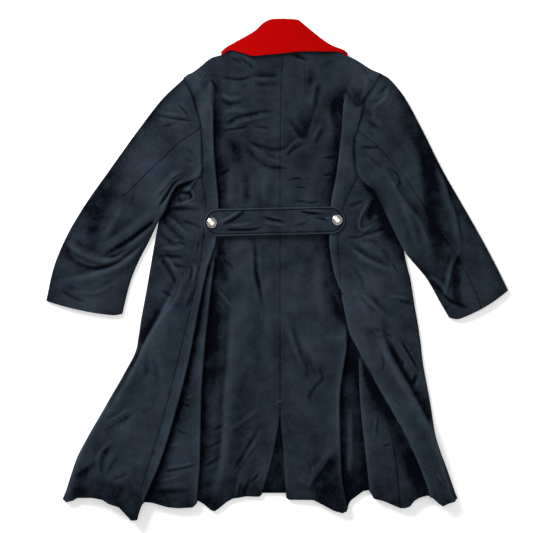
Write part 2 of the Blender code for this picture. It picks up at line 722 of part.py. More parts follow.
def build_buttons():
    mesh = bpy.data.meshes.new("button")
    rows = list(zip(*BUTTON_PROFILE.values(), strict=True))
    verts = [(r * BUTTON_RADIUS * MM, 0, h * BUTTON_HEIGHT * MM) for r, h in rows]
    verts.append((0, 0, 0))
    mesh.from_pydata(verts, [(k, k + 1) for k in range(len(verts) - 1)], [])
    mesh.materials.append(wool("button metal", NICKEL, 0.25))
    mesh.materials[0].node_tree.nodes["Principled BSDF"].inputs["Metallic"].default_value = 1.0
    for side, name in ((LEFT, "button_left"), (RIGHT, "button_right")):
        button = bpy.data.objects.new(name, mesh)
        reach = side * BUTTON_PITCH / 2
        across = BELT_CENTRE[0] + reach * math.cos(BELT_TILT)
        drop = BELT_CENTRE[1] - reach * math.sin(BELT_TILT)
        button.location = place(across, drop, BELT_LEVEL + BELT_THICK / 2 + SEAM_GAP)
        bpy.context.scene.collection.objects.link(button)
        turn = button.modifiers.new("Turn", "SCREW")
        turn.steps = turn.render_steps = BUTTON_STEPS
        turn.use_merge_vertices = True
        turn.merge_threshold = 0.00005
        turn.use_normal_calculate = True
        turn.use_normal_flip = True


def centre_on_box():
    """Move every piece so the origin is at the bottom centre of the whole coat's box."""
    bpy.context.view_layer.update()
    graph = bpy.context.evaluated_depsgraph_get()
    corners = []
    for piece in bpy.context.scene.objects:
        shape = piece.evaluated_get(graph)
        corners += [piece.matrix_world @ vert.co for vert in shape.to_mesh().vertices]
        shape.to_mesh_clear()
    low, high = np.min(corners, axis=0), np.max(corners, axis=0)
    for piece in bpy.context.scene.objects:
        piece.location.x -= (low[0] + high[0]) / 2
        piece.location.y -= (low[1] + high[1]) / 2
        piece.location.z -= low[2]


BELT_END_POINTS = 12
BUTTON_STEPS = 28


def main():
    for stray in list(bpy.data.objects):
        bpy.data.objects.remove(stray, do_unlink=True)
    build_sides_and_fronts()
    build_backs()
    build_sleeves()
    build_collar()
    build_belt()
    build_buttons()
    centre_on_box()


main()
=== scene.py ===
"""Looks of the greatcoat that lies flat on its front: wool panels with their folds and creases, red collar,
half belt with its stitching, domed buttons, the floor, the lights and the camera.

Tables are in millimetres: "drop" runs down the coat from the top of the collar, "out" runs outwards from the
centre back seam on one half of the coat, "across" is positive to the right. Creases are placed by pixels of
the photograph's 533 x 533 frame.
"""

import functools
import math

import bmesh
import bpy
import numpy as np
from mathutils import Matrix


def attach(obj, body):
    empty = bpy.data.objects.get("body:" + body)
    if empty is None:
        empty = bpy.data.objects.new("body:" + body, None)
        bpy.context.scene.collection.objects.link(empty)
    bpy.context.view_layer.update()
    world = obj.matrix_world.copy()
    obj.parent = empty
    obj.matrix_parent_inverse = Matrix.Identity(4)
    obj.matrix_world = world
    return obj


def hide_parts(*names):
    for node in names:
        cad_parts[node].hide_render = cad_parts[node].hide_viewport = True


bl_info = {
    "name": "Greatcoat laid flat",
    "version": (1, 0, 0),
    "blender": (4, 5, 0),
    "location": "View3D > Sidebar > Coat",
    "description": "Dresses the packed greatcoat in wool, thread and metal",
    "category": "Object",
}

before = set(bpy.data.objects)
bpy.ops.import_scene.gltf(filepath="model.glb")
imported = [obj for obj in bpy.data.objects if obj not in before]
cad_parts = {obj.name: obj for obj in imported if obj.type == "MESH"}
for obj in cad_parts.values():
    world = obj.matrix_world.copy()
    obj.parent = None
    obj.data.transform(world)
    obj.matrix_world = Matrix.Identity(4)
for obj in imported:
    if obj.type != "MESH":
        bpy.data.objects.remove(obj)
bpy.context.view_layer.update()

MM = 0.001
SAME_PLACE = 0.00002
LEFT, RIGHT = -1, 1

# The photograph's scale and the part's place in its frame
PIXEL = 2.4
CENTRE_PX, TOP_PX = 281.5, 20.0
FRAME_PX = 533.0
SHIFT_ACROSS, SHIFT_DROP = 10.55, 597.99

# Cloth and how closely it lies
WALL = 2.4
SEAM_GAP = -0.8
SEAM_LEAN = -0.8
ARMHOLE_EASE = -0.4
FLOOR_LEVEL = 1.25
PLEAT_RISE = 8.0
FULL_RISE = 11.5
FULL_RISE_DROPS = (560.0, 820.0)
FADE = 40.0
RAMP_HALF = 8.0
RAMP_CLOSES = 10.0
SHARP_LAP = 8.0

# Levels of the middle of the wall over the floor, and the fronts' overlap, which lifts what lies on it
BACK_LEVEL_MID, BACK_LEVEL_OUT, BACK_LEVEL_LEAST = 10.0, 9.4, 7.1
OVERLAP_HALF, OVERLAP_SLOPE = 110.0, 25.0
FRONT_STEP = 3.3
UNDERLAP_LEVEL = 7.3
SIDE_EDGE_LEVEL = 8.0
UNDERARM_LEVEL = 4.2
BUTTONHOLE_LEVEL = 24.3
VENT_TACK_LEVEL = 11.0

# Side bodies: the edge turned under, its return along the floor, and the ridge to which a flap is held
SIDE_TURN = (SIDE_EDGE_LEVEL - FLOOR_LEVEL) / 2
SIDE_RETURN = 45.0
SIDE_EDGE_SETTLES = 7.0
SIDE_FACE_COLUMNS = 4
RIDGE_SWELL, RIDGE_SWELL_WIDTH = 2.0, 18.0
RIDGE_FALL, RIDGE_FOOT = 18.0, 6.5
RIDGE_ROOM = (8.0, 45.0)
SHOULDER_REACH = 6.0
UNDERARM_SHARE = 5 / 22
UNDERARM_TUCK_FROM, UNDERARM_TUCK = 8.0, 46.0

# Neck, hem and fronts
NECK_LIFT = 3.0
NECK_LIFT_DROPS = (240.0, 330.0)
NECK_LAG = 40.0
HEM_LINE = 1152.0
HEM_SHAPED = 900.0
FRONT_HEM = 1116.0
FRONT_SET_IN = 6.0
FRONT_SEAM_EASE = 6.0
FRONT_UNDERARM = 370.0

# Vent and its underlap
VENT_TOP = 915.0
UNDERLAP_START = 8.0
UNDERLAP_HEM = 1134.0
UNDERLAP_HALF = 22.0
# How much lower the underlap counts for its painted shade, which paints it darker
UNDERLAP_SHADE = 1.5

# Sleeves, in shares of their length or width apart from the depths
SLEEVE_EDGE = 8.6
HEAD_LENGTH = 0.12
FOREARM_SEAM = 0.60
CUFF_ROUND_WIDTH = 0.13
CUFF_ROUND_FROM = 0.9
CROWN_ROUND = 0.8
LIFT_OVER_FROM, LIFT_UNDER_FROM = 0.3, 0.5
EDGE_FOLDS_FADE = 14.0
DEEPEST_SLEEVE_FOLD = -3.0
LEFT_SEAM_FADE = 0.8
LEFT_SEAM_FADES = (0.40, 0.58)

# Creases, the dips along sewn seams, and the close rows at both ends of a panel
CREASE_SHOULDER = 1.1
CREASE_REACH = 2.4
CREASE_TAPER = 0.34
CREASED_FROM, CREASED_FULLY = 3.0, 7.0
SEAM_DIP = 1.5
SEAM_DIP_WIDTH = 3.0
CENTRE_DIP_WIDTH = 1.8
END_ROW = 0.0012
STAND_ROWS, COLLAR_ROWS = 14, 40

# Stitches, in shares of the thread's width: how far the ends taper, then how round, proud and sunk it lies
STITCH_ENDS = 0.08
STITCH_ROUND, STITCH_PROUD, STITCH_SUNK = 0.35, 0.5, 0.4


def table(names, *rows):
    """Columns by name from rows of numbers; the first column is what the others depend on."""
    return dict(zip(names.split(), np.array(rows, float).T, strict=True))


# Left half, from the shoulder down: the armhole and side seam, the flap's folded edge, the inner pleat's
# folded edge, and how far each pleat laps. A negative lap fades out.
LEFT_BACK = table(
    "drop seam flap flap_lap pleat pleat_lap",
    (142, 234, 166, -40, 130, -40),
    (192, 211, 163, 0, 132, -40),
    (264, 192, 164, 12, 134, -40),
    (365, 191, 158, 18, 136, -40),
    (444, 181, 152, 20, 140, -40),
    (523, 186, 157, 20, 148, -24),
    (600, 196, 179, 18, 164, 12),
    (696, 217, 199, 20, 175, 20),
    (816, 246, 222, 22, 187, 24),
    (915, 271, 247, 24, 193, 24),
    (1056, 314, 292, 24, 196, 24),
    (1152, 344, 331, 22, 203, 22),
)

# Right half: the same, with the centre panel's own folded edge.
RIGHT_BACK = table(
    "drop seam flap flap_lap pleat pleat_lap fold fold_lap",
    (131, 238, 174, -40, 133, -40, 97, -40),
    (165, 219.5, 160, -38, 124, -40, 91, -40),
    (192, 201.5, 150, -34, 116, -40, 85, -40),
    (228, 191, 147, 6, 111, -40, 80, -40),
    (264, 182, 145, 12, 106, -40, 75, -40),
    (297, 173, 141, 14, 103, -40, 72, -40),
    (327, 174.2, 138, 16, 100, -40, 69, -40),
    (350, 177.6, 135, 17, 97.5, -40, 66.5, -40),
    (367, 181, 133, 18, 96, -40, 65, -40),
    (444, 150, 119, 20, 82, -40, 50, -40),
    (523, 134, 115, 14, 78, -40, 46, -40),
    (600, 139, 125, 12, 86, -40, 54, -40),
    (640, 143, 138, 10, 104, -40, 74, -40),
    (657, 146, 143.5, 10, 110, -40, 80, -40),
    (662, 147.5, 145.5, -40, 112, -40, 82, -40),
    (702, 172, 160, -40, 146, -40, 126, -40),
    (744, 192, 184, -40, 176, -30, 158, -12),
    (780, 204, 198, -40, 182, -8, 156, 6),
    (816, 214, 204, -40, 184, 4, 150, 10),
    (915, 246, 231, -40, 189, 10, 138, 16),
    (1056, 274, 259, -40, 202, 14, 142, 16),
    (1152, 283, 268, -40, 211, 12, 158, 12),
)

# Centre back seam down to the vent, then how far each back's edge opens from it.
CENTRE = table(
    "drop across left_open right_open",
    (58, 4, 0, 0),
    (192, -1, 0, 0),
    (365, -3, 0, 0),
    (915, -3, 0, 0),
    (1056, -2, 20, 7),
    (1152, -2, 46, 14),
)

# Side bodies: the coat's outline, the ridge to which the flap is held flat, how firmly it is held, and on the
# right the flap's folded edge below the crossing.
LEFT_SIDE = table(
    "drop outline ridge firm",
    (370, 276, 240, 0),
    (485, 289, 240, 0),
    (600, 311, 236, 0.1),
    (696, 329, 277, 0.6),
    (756, 341, 311, 0.9),
    (816, 351, 341, 0.7),
    (876, 383, 374, 0.45),
    (936, 421, 412, 0.4),
    (1056, 490, 481, 0.4),
    (1152, 524, 515, 0.3),
)
RIGHT_SIDE = table(
    "drop outline ridge firm flap flap_lap",
    (379, 278, 240, 0, 200, -40),
    (551, 290, 244, 0, 186, -40),
    (600, 298, 242, 0, 162, -40),
    (648, 310, 238, 0.1, 156, -40),
    (654, 312, 238, 0.1, 144.5, 9),
    (680, 317, 237, 0.2, 149, 22),
    (702, 321, 236, 0.3, 153.5, 28),
    (744, 328, 232, 0.6, 163, 40),
    (780, 333, 243, 0.8, 181, 34),
    (816, 337, 260, 1, 198, 28),
    (915, 355, 321, 1, 254, 24),
    (996, 368, 359, 0.9, 299, 20),
    (1056, 390, 381, 0.8, 324, 16),
    (1152, 421, 412, 0.7, 355, 12),
)

# Edges that end a panel: the backs' neck and shoulders, the side bodies' underarm, the fronts' neck.
LEFT_TOP = table(
    "out drop", (0, 58), (60, 60), (104, 64), (126, 70), (137, 80), (143, 85), (164, 91), (176, 98),
    (196, 115), (220, 132), (236, 140), (248, 146)
)
RIGHT_TOP = table(
    "out drop", (0, 58), (60, 60), (104, 62), (126, 66), (148, 77), (157, 87), (172, 94), (188, 103),
    (212, 119), (238, 130), (252, 136)
)
LEFT_UNDERARM = table("out drop", (192, 360), (224, 366), (258, 380), (286, 420), (299, 474))
RIGHT_UNDERARM = table("out drop", (182, 362), (212, 380), (246, 414), (278, 482), (300, 545))
FRONT_TOP = table(
    "across drop", (-250, 143), (-205, 122), (-172, 102), (-126, 88), (-100, 116), (-55, 142), (0, 150),
    (55, 142), (100, 116), (126, 88), (172, 102), (205, 122), (250, 143)
)

# Hem lobes across the coat, as they lie.
HEM = table(
    "across drop",
    (-530, 1146), (-515, 1155), (-500, 1152), (-488, 1145), (-452, 1144), (-428, 1148), (-412, 1158),
    (-388, 1165), (-371, 1183), (-358, 1197), (-345, 1196), (-333, 1158), (-326, 1154), (-308, 1156),
    (-275, 1166), (-248, 1169), (-212, 1167), (-205, 1160), (-200, 1152), (-184, 1162), (-169, 1175),
    (-160, 1178), (-145, 1167), (-131, 1155), (-116, 1147), (-83, 1142), (-54, 1143), (-48, 1138), (4, 1138),
    (17, 1150), (76, 1150), (100, 1162), (124, 1175), (145, 1181), (155, 1177), (164, 1153), (176, 1144),
    (196, 1129), (210, 1127), (220, 1146), (244, 1152), (284, 1169), (304, 1168), (316, 1152), (323, 1146),
    (349, 1138), (361, 1144), (376, 1158), (384, 1163), (400, 1156), (416, 1152), (424, 1144),
)

# Sleeves from armhole to cuff: the outer and inner edges of the flattened sleeve, how far the station bows
# towards the body, where the back seam lies across it, how high its inner edge is carried, and its crown.
SLEEVE_COLUMNS = "along outer outer_drop inner inner_drop bow seam inner_lift crown"
LEFT_SLEEVE = table(
    SLEEVE_COLUMNS,
    (0.00, 236, 142, 210, 378, 26, 0.505, 9, 8),
    (0.12, 284, 190, 252, 400, 16, 0.545, 9, 11),
    (0.28, 340, 262, 280, 458, 8, 0.48, 8, 11),
    (0.45, 409, 358, 296, 484, 0, 0.418, 4, 10),
    (0.62, 476, 454, 316, 526, -4, 0.21, 0, 9),
    (0.76, 517, 526, 342, 576, 0, 0.11, 0, 8),
    (0.88, 546, 598, 362, 624, 2, 0.08, 0, 6),
    (1.00, 563, 674, 384, 710, -6, 0.08, 0, 4),
)
RIGHT_SLEEVE = table(
    SLEEVE_COLUMNS,
    (0.00, 239, 130, 206, 396, 22, 0.517, 9, 8),
    (0.03, 257, 141, 210, 399, 20, 0.535, 9, 9),
    (0.06, 271, 156, 215, 402, 18, 0.555, 9, 9.5),
    (0.12, 294, 187, 224, 409, 14, 0.60, 9, 11),
    (0.28, 335, 262, 238, 438, 8, 0.55, 9, 11),
    (0.45, 383, 358, 269, 504, 0, 0.48, 8, 10),
    (0.62, 438, 454, 297, 557, 0, 0.46, 4, 9),
    (0.76, 479, 526, 350, 622, 0, 0.45, 0, 8),
    (0.88, 517, 598, 381, 677, -4, 0.455, 0, 6),
    (1.00, 542, 649, 408, 723, -8, 0.50, 0, 4),
)
LEFT_ARMHOLE = table(
    "drop out", (142, 234), (192, 211), (264, 192), (340, 191), (371, 191), (384, 203)
)
RIGHT_ARMHOLE = table(
    "drop out", (131, 238), (165, 219.5), (192, 201.5), (228, 191), (264, 182), (297, 173), (327, 174.2),
    (350, 177.6), (367, 181), (381, 190), (398, 207)
)

# Collar: its rolled top edge and its outer edge over the back, then the plain wings under the fronts.
COLLAR_ROLL = table(
    "across drop", (-143, 76), (-124, 64), (-92, 46), (-62, 28), (-40, 8), (-22, 1), (0, 0), (36, 2),
    (58, 18), (98, 50), (122, 65), (146, 74), (157, 80)
)
COLLAR_EDGE = table(
    "across drop", (-143, 84), (-122, 75), (-98, 80), (-66, 89), (-36, 86), (0, 83), (50, 78),
    (125, 78), (145, 81), (157, 87)
)
COLLAR_ENDS = (-143.0, 157.0)
COLLAR_WALL = 3.0
COLLAR_ROLL_LEVEL = 14.0
COLLAR_EDGE_LEVEL = 22.0
COLLAR_SIDE_LEVEL = 16.0
COLLAR_ROLL_RADIUS = 2.2
COLLAR_LIFTS = 4
STAND_LEVELS = (7.0, 13.0)
STAND_HALF = 68.0
STAND_DROPS = (14.0, 57.6)
STAND_TAPER = 0.6
WING_LEVEL = 1.6
WING_ROLL_RADIUS = 0.05
WING_TIP = (12.0, 150.0)
WING_POINT_DROP = 205.0

# Half belt and its buttons
BELT_LENGTH = 338.0
BELT_WIDTH = 66.0
BELT_THICK = 4.0
BELT_CENTRE = (-17.0, 484.0)
BELT_TILT = math.radians(1.3)
BELT_LEVEL = 21.6
BELT_STITCH_INSET = 5.5
BELT_GROOVE = 1.2
STITCH_SHARE = 0.72
BUTTONHOLES = (((219.5, 222.8), (222.5, 222.7)), ((325.5, 218.2), (329.0, 218.1)))
VENT_TACK = ((277.0, 401.0), (285.5, 401.0))
VENT_TACK_STITCHES, BUTTONHOLE_STITCHES = 16, 7
VENT_TACK_LENGTH, BUTTONHOLE_LENGTH = 2.2, 2.6
BUTTON_PITCH = 300.0
BUTTON_RADIUS = 12.0
BUTTON_HEIGHT = 8.0
BUTTON_GAP = 0.3

# Creases: half widths on the left and on the right as one walks along, the height, which is negative for a
# trough, and then the pixels that the crease goes through.
BODY_CREASES = (
    # upper back, left of the centre seam
    (14, 6, -2.0, 248, 76, 265, 77, 281, 77),
    (3, 6, -2.2, 231, 58, 238, 61, 244, 66),
    (3, 6, -2.2, 237, 57, 247, 63, 256, 71),
    (6, 3, 1.6, 242, 57, 251, 62, 261, 70),
    (6, 6, -2.4, 217, 77, 239, 80, 256, 76),
    (4, 4, -3.0, 210, 80, 214, 84, 217, 90),
    (3, 3, -2.2, 199, 76, 210, 77),
    (3, 3, -2.2, 198, 84, 208.5, 84),
    (8, 5, 2.6, 218.5, 93, 233, 100, 246, 97),
    (3, 8, -2.6, 220, 98.5, 231, 104, 244, 102),
    (9, 9, -1.8, 250, 84, 266, 85, 283, 84),
    (9, 6, 2.0, 220, 114, 233, 112, 250, 112),
    (9, 3, -3.0, 219, 123, 227, 124, 238.5, 118.5, 247, 116.5, 263, 113, 278.5, 111.5),
    (3, 8, 2.2, 219, 127, 229, 127.5, 240, 122, 250, 119.5, 264, 116.5, 278, 115),
    (4, 4, -2.4, 220, 131, 238.5, 129, 251, 125.5),
    (5, 3, -2.6, 252, 125.5, 261, 128, 271.5, 128.5),
    (20, 18, -2.2, 232, 136, 236, 152, 238, 170),
    (7, 12, -1.9, 241, 142, 254, 156, 270, 167, 291, 170),
    (7, 4, 1.8, 243, 139, 257, 151, 272, 161, 288, 165),
    (8, 8, -1.8, 243, 140.5, 261.5, 147, 276, 150, 284, 148.5, 292, 141),
    (14, 14, -2.4, 247, 168, 247, 188, 247, 209),
    (16, 16, 2.2, 231, 168, 231, 188, 230, 209),
    (14, 14, 1.8, 265, 172, 265, 190, 264, 208),
    (4, 6, -2.2, 219, 175, 225, 172, 231, 168.5),
    # upper back, right of the centre seam
    (10, 3, -3.0, 290, 55, 300, 59, 311, 63),
    (16, 16, -2.2, 308, 66, 312, 76, 306, 90),
    (6, 12, 1.6, 316, 78, 312, 97, 310, 110),
    (9, 7, -1.6, 321, 80, 317, 97, 313, 116),
    (18, 18, -1.6, 302, 106, 303, 124, 304, 144),
    (14, 7, -1.8, 286, 115, 297, 132, 306, 144),
    (7, 14, -1.8, 315, 104, 309, 126, 303, 145),
    (8, 9, 1.6, 323, 120, 317, 132, 310, 143),
    (9, 6, -1.4, 324, 126, 319, 136, 313, 146),
    (3, 8, -2.6, 283, 158.5, 298.5, 145.5, 308.5, 143),
    (6, 3, 2.0, 284, 154, 297, 142, 308, 139.5),
    (3, 5, -2.0, 270, 167, 280, 168, 291.5, 168.5),
    (4, 4, -2.2, 286, 181, 298.5, 178.5, 304, 183),
    (3, 4, -2.0, 294, 187, 307, 188.5),
    (5, 5, -2.2, 293, 200, 310, 203, 324, 201),
    (4, 4, -2.4, 321.5, 158.5, 329, 158, 337, 156.5),
    (4, 4, -2.4, 320, 176, 326, 175, 333, 173),
    (6, 5, -2.6, 336, 95, 346, 93, 351, 103),
    (4, 18, -4.0, 334, 97, 337, 118.5, 341, 127, 338.5, 152),
    (8, 8, 1.0, 341, 100, 345, 107, 348, 117),
    (6, 4, -3.4, 350, 100, 357, 107, 361.5, 104, 370, 97),
    (6, 6, 2.6, 363, 74, 366.5, 84, 361.5, 99),
    (3, 3, -2.4, 368.5, 78.5, 375.5, 86),
    (2.5, 2.5, -1.6, 355.5, 61.5, 364, 70, 368.5, 87),
    (2.5, 2.5, -1.2, 305, 61, 305, 93),
    # left side under the arm
    (3.5, 3.5, -5.0, 175, 197, 183, 193.5, 191, 195),
    (3, 3, -4.0, 190, 193.5, 192.5, 197, 188, 200),
    (4, 5, 3.4, 179, 199, 184, 203.5, 191, 200),
    (3, 3, -4.0, 178, 197, 180, 200, 182, 205),
    (5, 8, -2.4, 163, 212, 178.5, 208.5, 207, 210),
    (7, 5, 2.2, 168, 207, 182, 204.5, 202, 205),
    (4, 12, -2.8, 160, 212, 171, 227, 190, 244),
    (8, 3, 2.4, 167, 215, 176, 225, 190, 238),
    (5, 7, -1.9, 180, 219, 193, 224, 207, 230),
    (5, 8, -2.2, 158, 230, 171, 241.5, 181, 246),
    (3, 4, -2.8, 176, 241.5, 188, 245),
    (7, 7, 2.8, 160, 246, 174, 249, 187, 248),
    (5, 8, -2.8, 158, 255, 172, 256, 187, 256.5),
    (7, 9, -2.4, 155, 250, 166, 264, 180, 288),
    (7, 4, 2.2, 162, 252, 171, 263, 181, 279),
    (6, 6, -1.8, 170, 263, 178, 266, 187, 267),
    (6, 7, -2.2, 160, 289, 176, 298),
    (4, 4, 2.8, 193, 261, 196, 270, 193, 284),
    (3, 5, -2.4, 190, 263, 192.5, 271, 189.5, 284),
    (12, 4, 2.4, 190, 268.5, 184, 278.5, 177, 297, 164, 316, 156, 330),
    (2.5, 2.5, -1.8, 200, 238.5, 197, 257),
    (8, 8, -2.0, 196, 287, 191, 299, 186, 312),
    # under the belt, left
    (10, 10, -3.6, 221, 234, 221, 247, 223, 260),
    (18, 18, -2.2, 223, 256, 224, 272, 226, 288),
    (7, 7, -3.2, 253, 234, 255.7, 256, 256, 270, 260, 290, 264, 315),
    (4, 6, 2.2, 215, 286, 226, 299, 237, 312),
    (4, 5, -2.2, 223, 258.5, 229, 263, 235, 271),
    (2.5, 2.5, -1.2, 214, 238, 211.5, 262),
    # right side under the arm
    (5, 5, 3.4, 369.5, 200, 363, 211.5, 358.5, 223, 359, 228.5, 363, 231, 370, 227, 381, 221.5),
    (12, 12, -4.4, 376, 198, 371, 211, 367, 223),
    (4, 7, -3.0, 361, 235, 374, 232, 385, 225.5),
    (4, 5, -2.8, 346, 238, 360, 237, 368, 233.5),
    (18, 5, -2.8, 347, 242, 367, 256, 380, 262, 394, 269),
    (4, 12, 2.8, 349, 247, 368, 261, 382, 267, 397, 272.5),
    (5, 5, -2.2, 392, 262, 397.5, 273),
    (9, 9, -1.6, 355, 241, 371.4, 241.4, 381, 249),
    (6, 6, 2.4, 359, 292, 371, 303, 382, 314),
    (10, 9, -1.5, 364, 287, 378, 303, 391, 318),
    (6, 6, 2.0, 386, 295.7, 411, 299),
    (8, 7, -1.4, 396, 299, 416, 305),
    (6, 6, -2.4, 346, 207.5, 356, 204, 365, 200.5),
    (9, 9, -1.6, 380, 247, 387, 256, 391, 265),
    (8, 8, -1.4, 350, 265, 360, 277, 365, 294),
    # centre panels, from the belt to the hem
    (6, 18, -2.2, 331, 286, 337, 306, 346, 328),
    (14, 18, 1.8, 316, 240, 319, 285, 325, 335),
    (22, 14, -2.8, 216, 288, 213, 345, 212, 404),
    (26, 12, 4.2, 236, 285, 233, 320, 231, 360, 227, 400, 226, 432, 224, 462, 213, 500),
    (9, 6, 1.6, 224, 434, 239, 424, 265, 405),
    (9, 7, -1.9, 264, 418, 247, 448, 231, 476),
    (6, 6, 1.5, 261, 433, 246, 457, 234, 477),
    (6, 6, -1.9, 257, 443, 240, 468, 232, 483),
    (4, 4, -3.4, 260, 472, 252, 482),
    (6, 7, -2.0, 252, 476, 246, 488, 242, 501),
    (5, 5, 2.2, 241, 476, 237, 488, 236, 500),
    (5, 5, -2.2, 212, 430.5, 226, 423.5),
    (5, 5, -2.2, 206, 448.5, 224, 439.5),
    (6, 6, -2.2, 202, 468.5, 222, 455.5),
    (22, 22, 2.0, 268, 238, 268, 300, 266, 396),
    (14, 8, -1.7, 289, 318, 301, 354, 307, 366, 307, 386),
    (8, 8, 1.2, 286, 322, 297, 354, 303, 374),
    (8, 6, -1.7, 313, 360, 322, 378, 315, 386, 309, 396, 310, 413),
    (7, 7, -1.2, 305, 348, 312, 366, 317, 380),
    (26, 4, -5.0, 337, 448, 323, 468, 313, 482, 309, 494),
    (4, 10, 2.2, 334, 445, 320, 463, 308, 479),
    (5, 5, 2.0, 341, 462, 346, 480, 349, 498),
    (3, 3, 1.8, 310.5, 459, 313.5, 471),
    (14, 14, -2.2, 290, 484, 310, 489, 330, 494),
    # left skirt
    (14, 10, -1.8, 150, 344, 147, 362, 147, 382),
    (10, 10, -1.5, 153, 352, 156, 366, 159, 384),
    (5, 12, -2.0, 103, 431, 120, 421, 138, 409),
    (6, 3, 1.8, 105, 424, 118, 416.5, 132, 407),
    (14, 6, -2.4, 118, 441, 105, 453, 101.7, 465, 106, 481),
    (4, 8, 2.0, 112, 442, 101.5, 451, 97.5, 464),
    (9, 7, -1.8, 121, 452, 112, 465, 106, 478),
    (6, 9, -2.0, 132, 469, 121, 476, 110, 479),
    (8, 16, -2.2, 70, 480, 88, 468, 103, 457),
    (20, 20, -2.0, 84, 480, 110, 486, 130, 495),
    (3, 3, -4.2, 180, 401.5, 185, 404, 191, 405.5),
    (3, 3, 2.0, 186, 397, 190, 396, 194, 392.5),
    (4, 3, -2.2, 174, 426.5, 183, 432, 191, 433),
    (3, 4, 2.4, 169, 444.5, 175, 443.5, 182, 443),
    (3, 3, 2.4, 162, 467.5, 180, 465, 201, 460),
    (3, 6, -2.4, 162, 470.5, 180, 468, 201, 463),
    (5, 5, 1.8, 159, 480.5, 170, 478, 182, 474.5),
    (10, 10, -2.2, 150, 492, 175, 490, 197, 488),
    # right skirt
    (4, 4, -2.8, 399, 338, 410, 356, 419, 371.5),
    (6, 6, -3.2, 403, 358, 400, 373),
    (7, 7, -4.2, 417, 372, 411.5, 387),
    (6, 6, -3.2, 421, 391, 409, 397),
    (5, 5, -2.8, 423, 401, 414, 406.5),
    (4, 4, 2.2, 375.5, 413, 373, 438),
    (3, 4, -1.8, 378.5, 413, 376, 437),
    (4, 4, -2.4, 381, 445.5, 392, 443),
    (8, 8, 2.8, 349, 398, 350, 440, 348, 489),
    (5, 5, -1.8, 379, 349, 383, 362, 380, 373),
    (4, 4, 2.0, 435, 469, 441, 480, 447, 487),
    (5, 5, 2.4, 373, 329, 379, 334.5, 384, 331),
    (4, 4, -2.4, 385, 332, 392.5, 338.5),
    (4, 4, -2.0, 394, 399, 400, 405),
)
LEFT_SLEEVE_CREASES = (
    # the two lips that hang over the inner edge
    (3, 14, 3.0, 190, 170, 175, 177, 166, 187, 152, 203),
    (9, 5, -7.0, 186, 177, 175, 184, 168, 194, 157, 211),
    (13, 13, 3.0, 162, 206, 145, 219, 131, 230, 115, 241, 98, 253),
    (9, 5, -7.5, 160, 217, 141, 231, 131, 239, 116, 248, 99, 259),
    # the folds round the elbow and down to the cuff
    (16, 6, 3.6, 62, 235, 77, 251, 90, 258, 103, 262, 117, 260, 128, 248),
    (5, 4, -4.0, 103, 258, 116, 256, 127, 247),
    (5, 9, -3.6, 73, 260, 95, 268, 113, 265, 133, 251, 148, 239),
    (8, 14, 3.6, 48, 283, 75, 279, 105, 272, 131, 257, 157, 233),
    (22, 20, -2.0, 113, 200, 98, 222, 91, 243),
    (9, 9, 1.6, 126, 200, 116, 220, 99, 247),
    (6, 6, -2.2, 60, 289, 75, 298, 90, 302.5),
    (5, 5, -1.8, 99, 286, 107, 283, 116, 279),
    (6, 6, 2.0, 70, 292, 92, 293, 112, 286),
    # wrinkles by the armhole
    (4, 5, -2.8, 153, 114.5, 173, 119, 200, 122),
    (5, 3, 1.8, 160, 112, 176, 115.5, 192, 117),
    (4, 4, -2.4, 178, 104, 186, 113, 191.5, 121),
    (4, 4, -1.8, 162, 128.5, 172, 125, 182, 121.5),
    (4, 4, -2.2, 186, 149, 198, 156.5),
    (4, 4, -1.8, 182, 159.5, 196, 163.5),
)
RIGHT_SLEEVE_CREASES = (
    # the long hollow and the ridge on its outer side
    (26, 18, -3.6, 411, 126, 424, 165, 428, 200, 432, 228, 437, 252, 438, 278),
    (5, 16, 4.0, 434, 146, 443, 182, 447.5, 199, 454, 215, 457, 232, 461, 257),
    (4, 10, 4.5, 462, 247, 455, 258, 450, 270, 447.5, 284, 443, 300),
    (14, 10, -4.5, 454, 254, 456, 272, 455, 288, 460, 310),
    # folds at the elbow's inside and by the cuff
    (3, 7, -5.0, 426, 279, 436, 285.5, 441, 290, 444.5, 298),
    (6, 3, 2.4, 426, 275, 436, 281, 442, 286, 446, 295),
    (8, 3, -4.5, 441, 293, 451, 302.5, 469, 309),
    (12, 10, 2.4, 398, 195, 410, 225, 419, 254),
    # wrinkles by the armhole
    (4, 5, -2.8, 357, 147, 368, 148, 380, 148.5),
    (6, 6, 1.6, 387.5, 86, 386.6, 96.4, 380, 103, 372.3, 109.4),
    (5, 6, -1.6, 378, 95, 383, 90, 387, 84),
    (8, 8, -1.5, 362, 117, 373, 126, 383, 133),
    (8, 6, -2.2, 389, 168, 399, 180, 397, 193),
    (7, 7, -1.4, 363, 155, 376, 163, 386, 175),
)

# Belt's section from the middle of its face to the middle of its back: inset from the edge, level over its
# own middle, and its painted tone, with painted shade in the stitch groove and a painted highlight along the
# rolled edge.
BELT_SECTION = table(
    "inset level worn",
    *((inset, 2.6, 0) for inset in range(33, 17, -2)),
    (17, 2.5, 0), (15, 2.5, 0), (13, 2.4, 0), (11.5, 2.3, 0), (10, 2.2, 0), (9, 2.1, 0), (8, 1.9, -0.1),
    (6.8, 1.5, -0.5), (6.1, 0.9, -1.4), (5.5, 0.7, -1.8), (4.9, 1.0, -1.2), (4.2, 1.9, 0), (3.2, 2.5, 0.6),
    (2.2, 2.5, 0.9), (1.2, 2.1, 0.9), (0.5, 1.4, 0.5), (0.1, 0.6, 0), (0, 0, 0), (0.4, -1.2, 0),
    (1.6, -2.0, 0), (8, -2.0, 0), (20, -2.0, 0), (33, -2.0, 0),
)
# Depth of a belt crease for one step of painted shade or highlight
BELT_CREASE_DEPTH = 1.4
BELT_EDGE, BELT_FACE_LEVEL = 3.0, 0.5
# Bounds of the belt's painted shade and highlight
BELT_PAINTED_TONE_RANGE = (-2.0, 1.0)
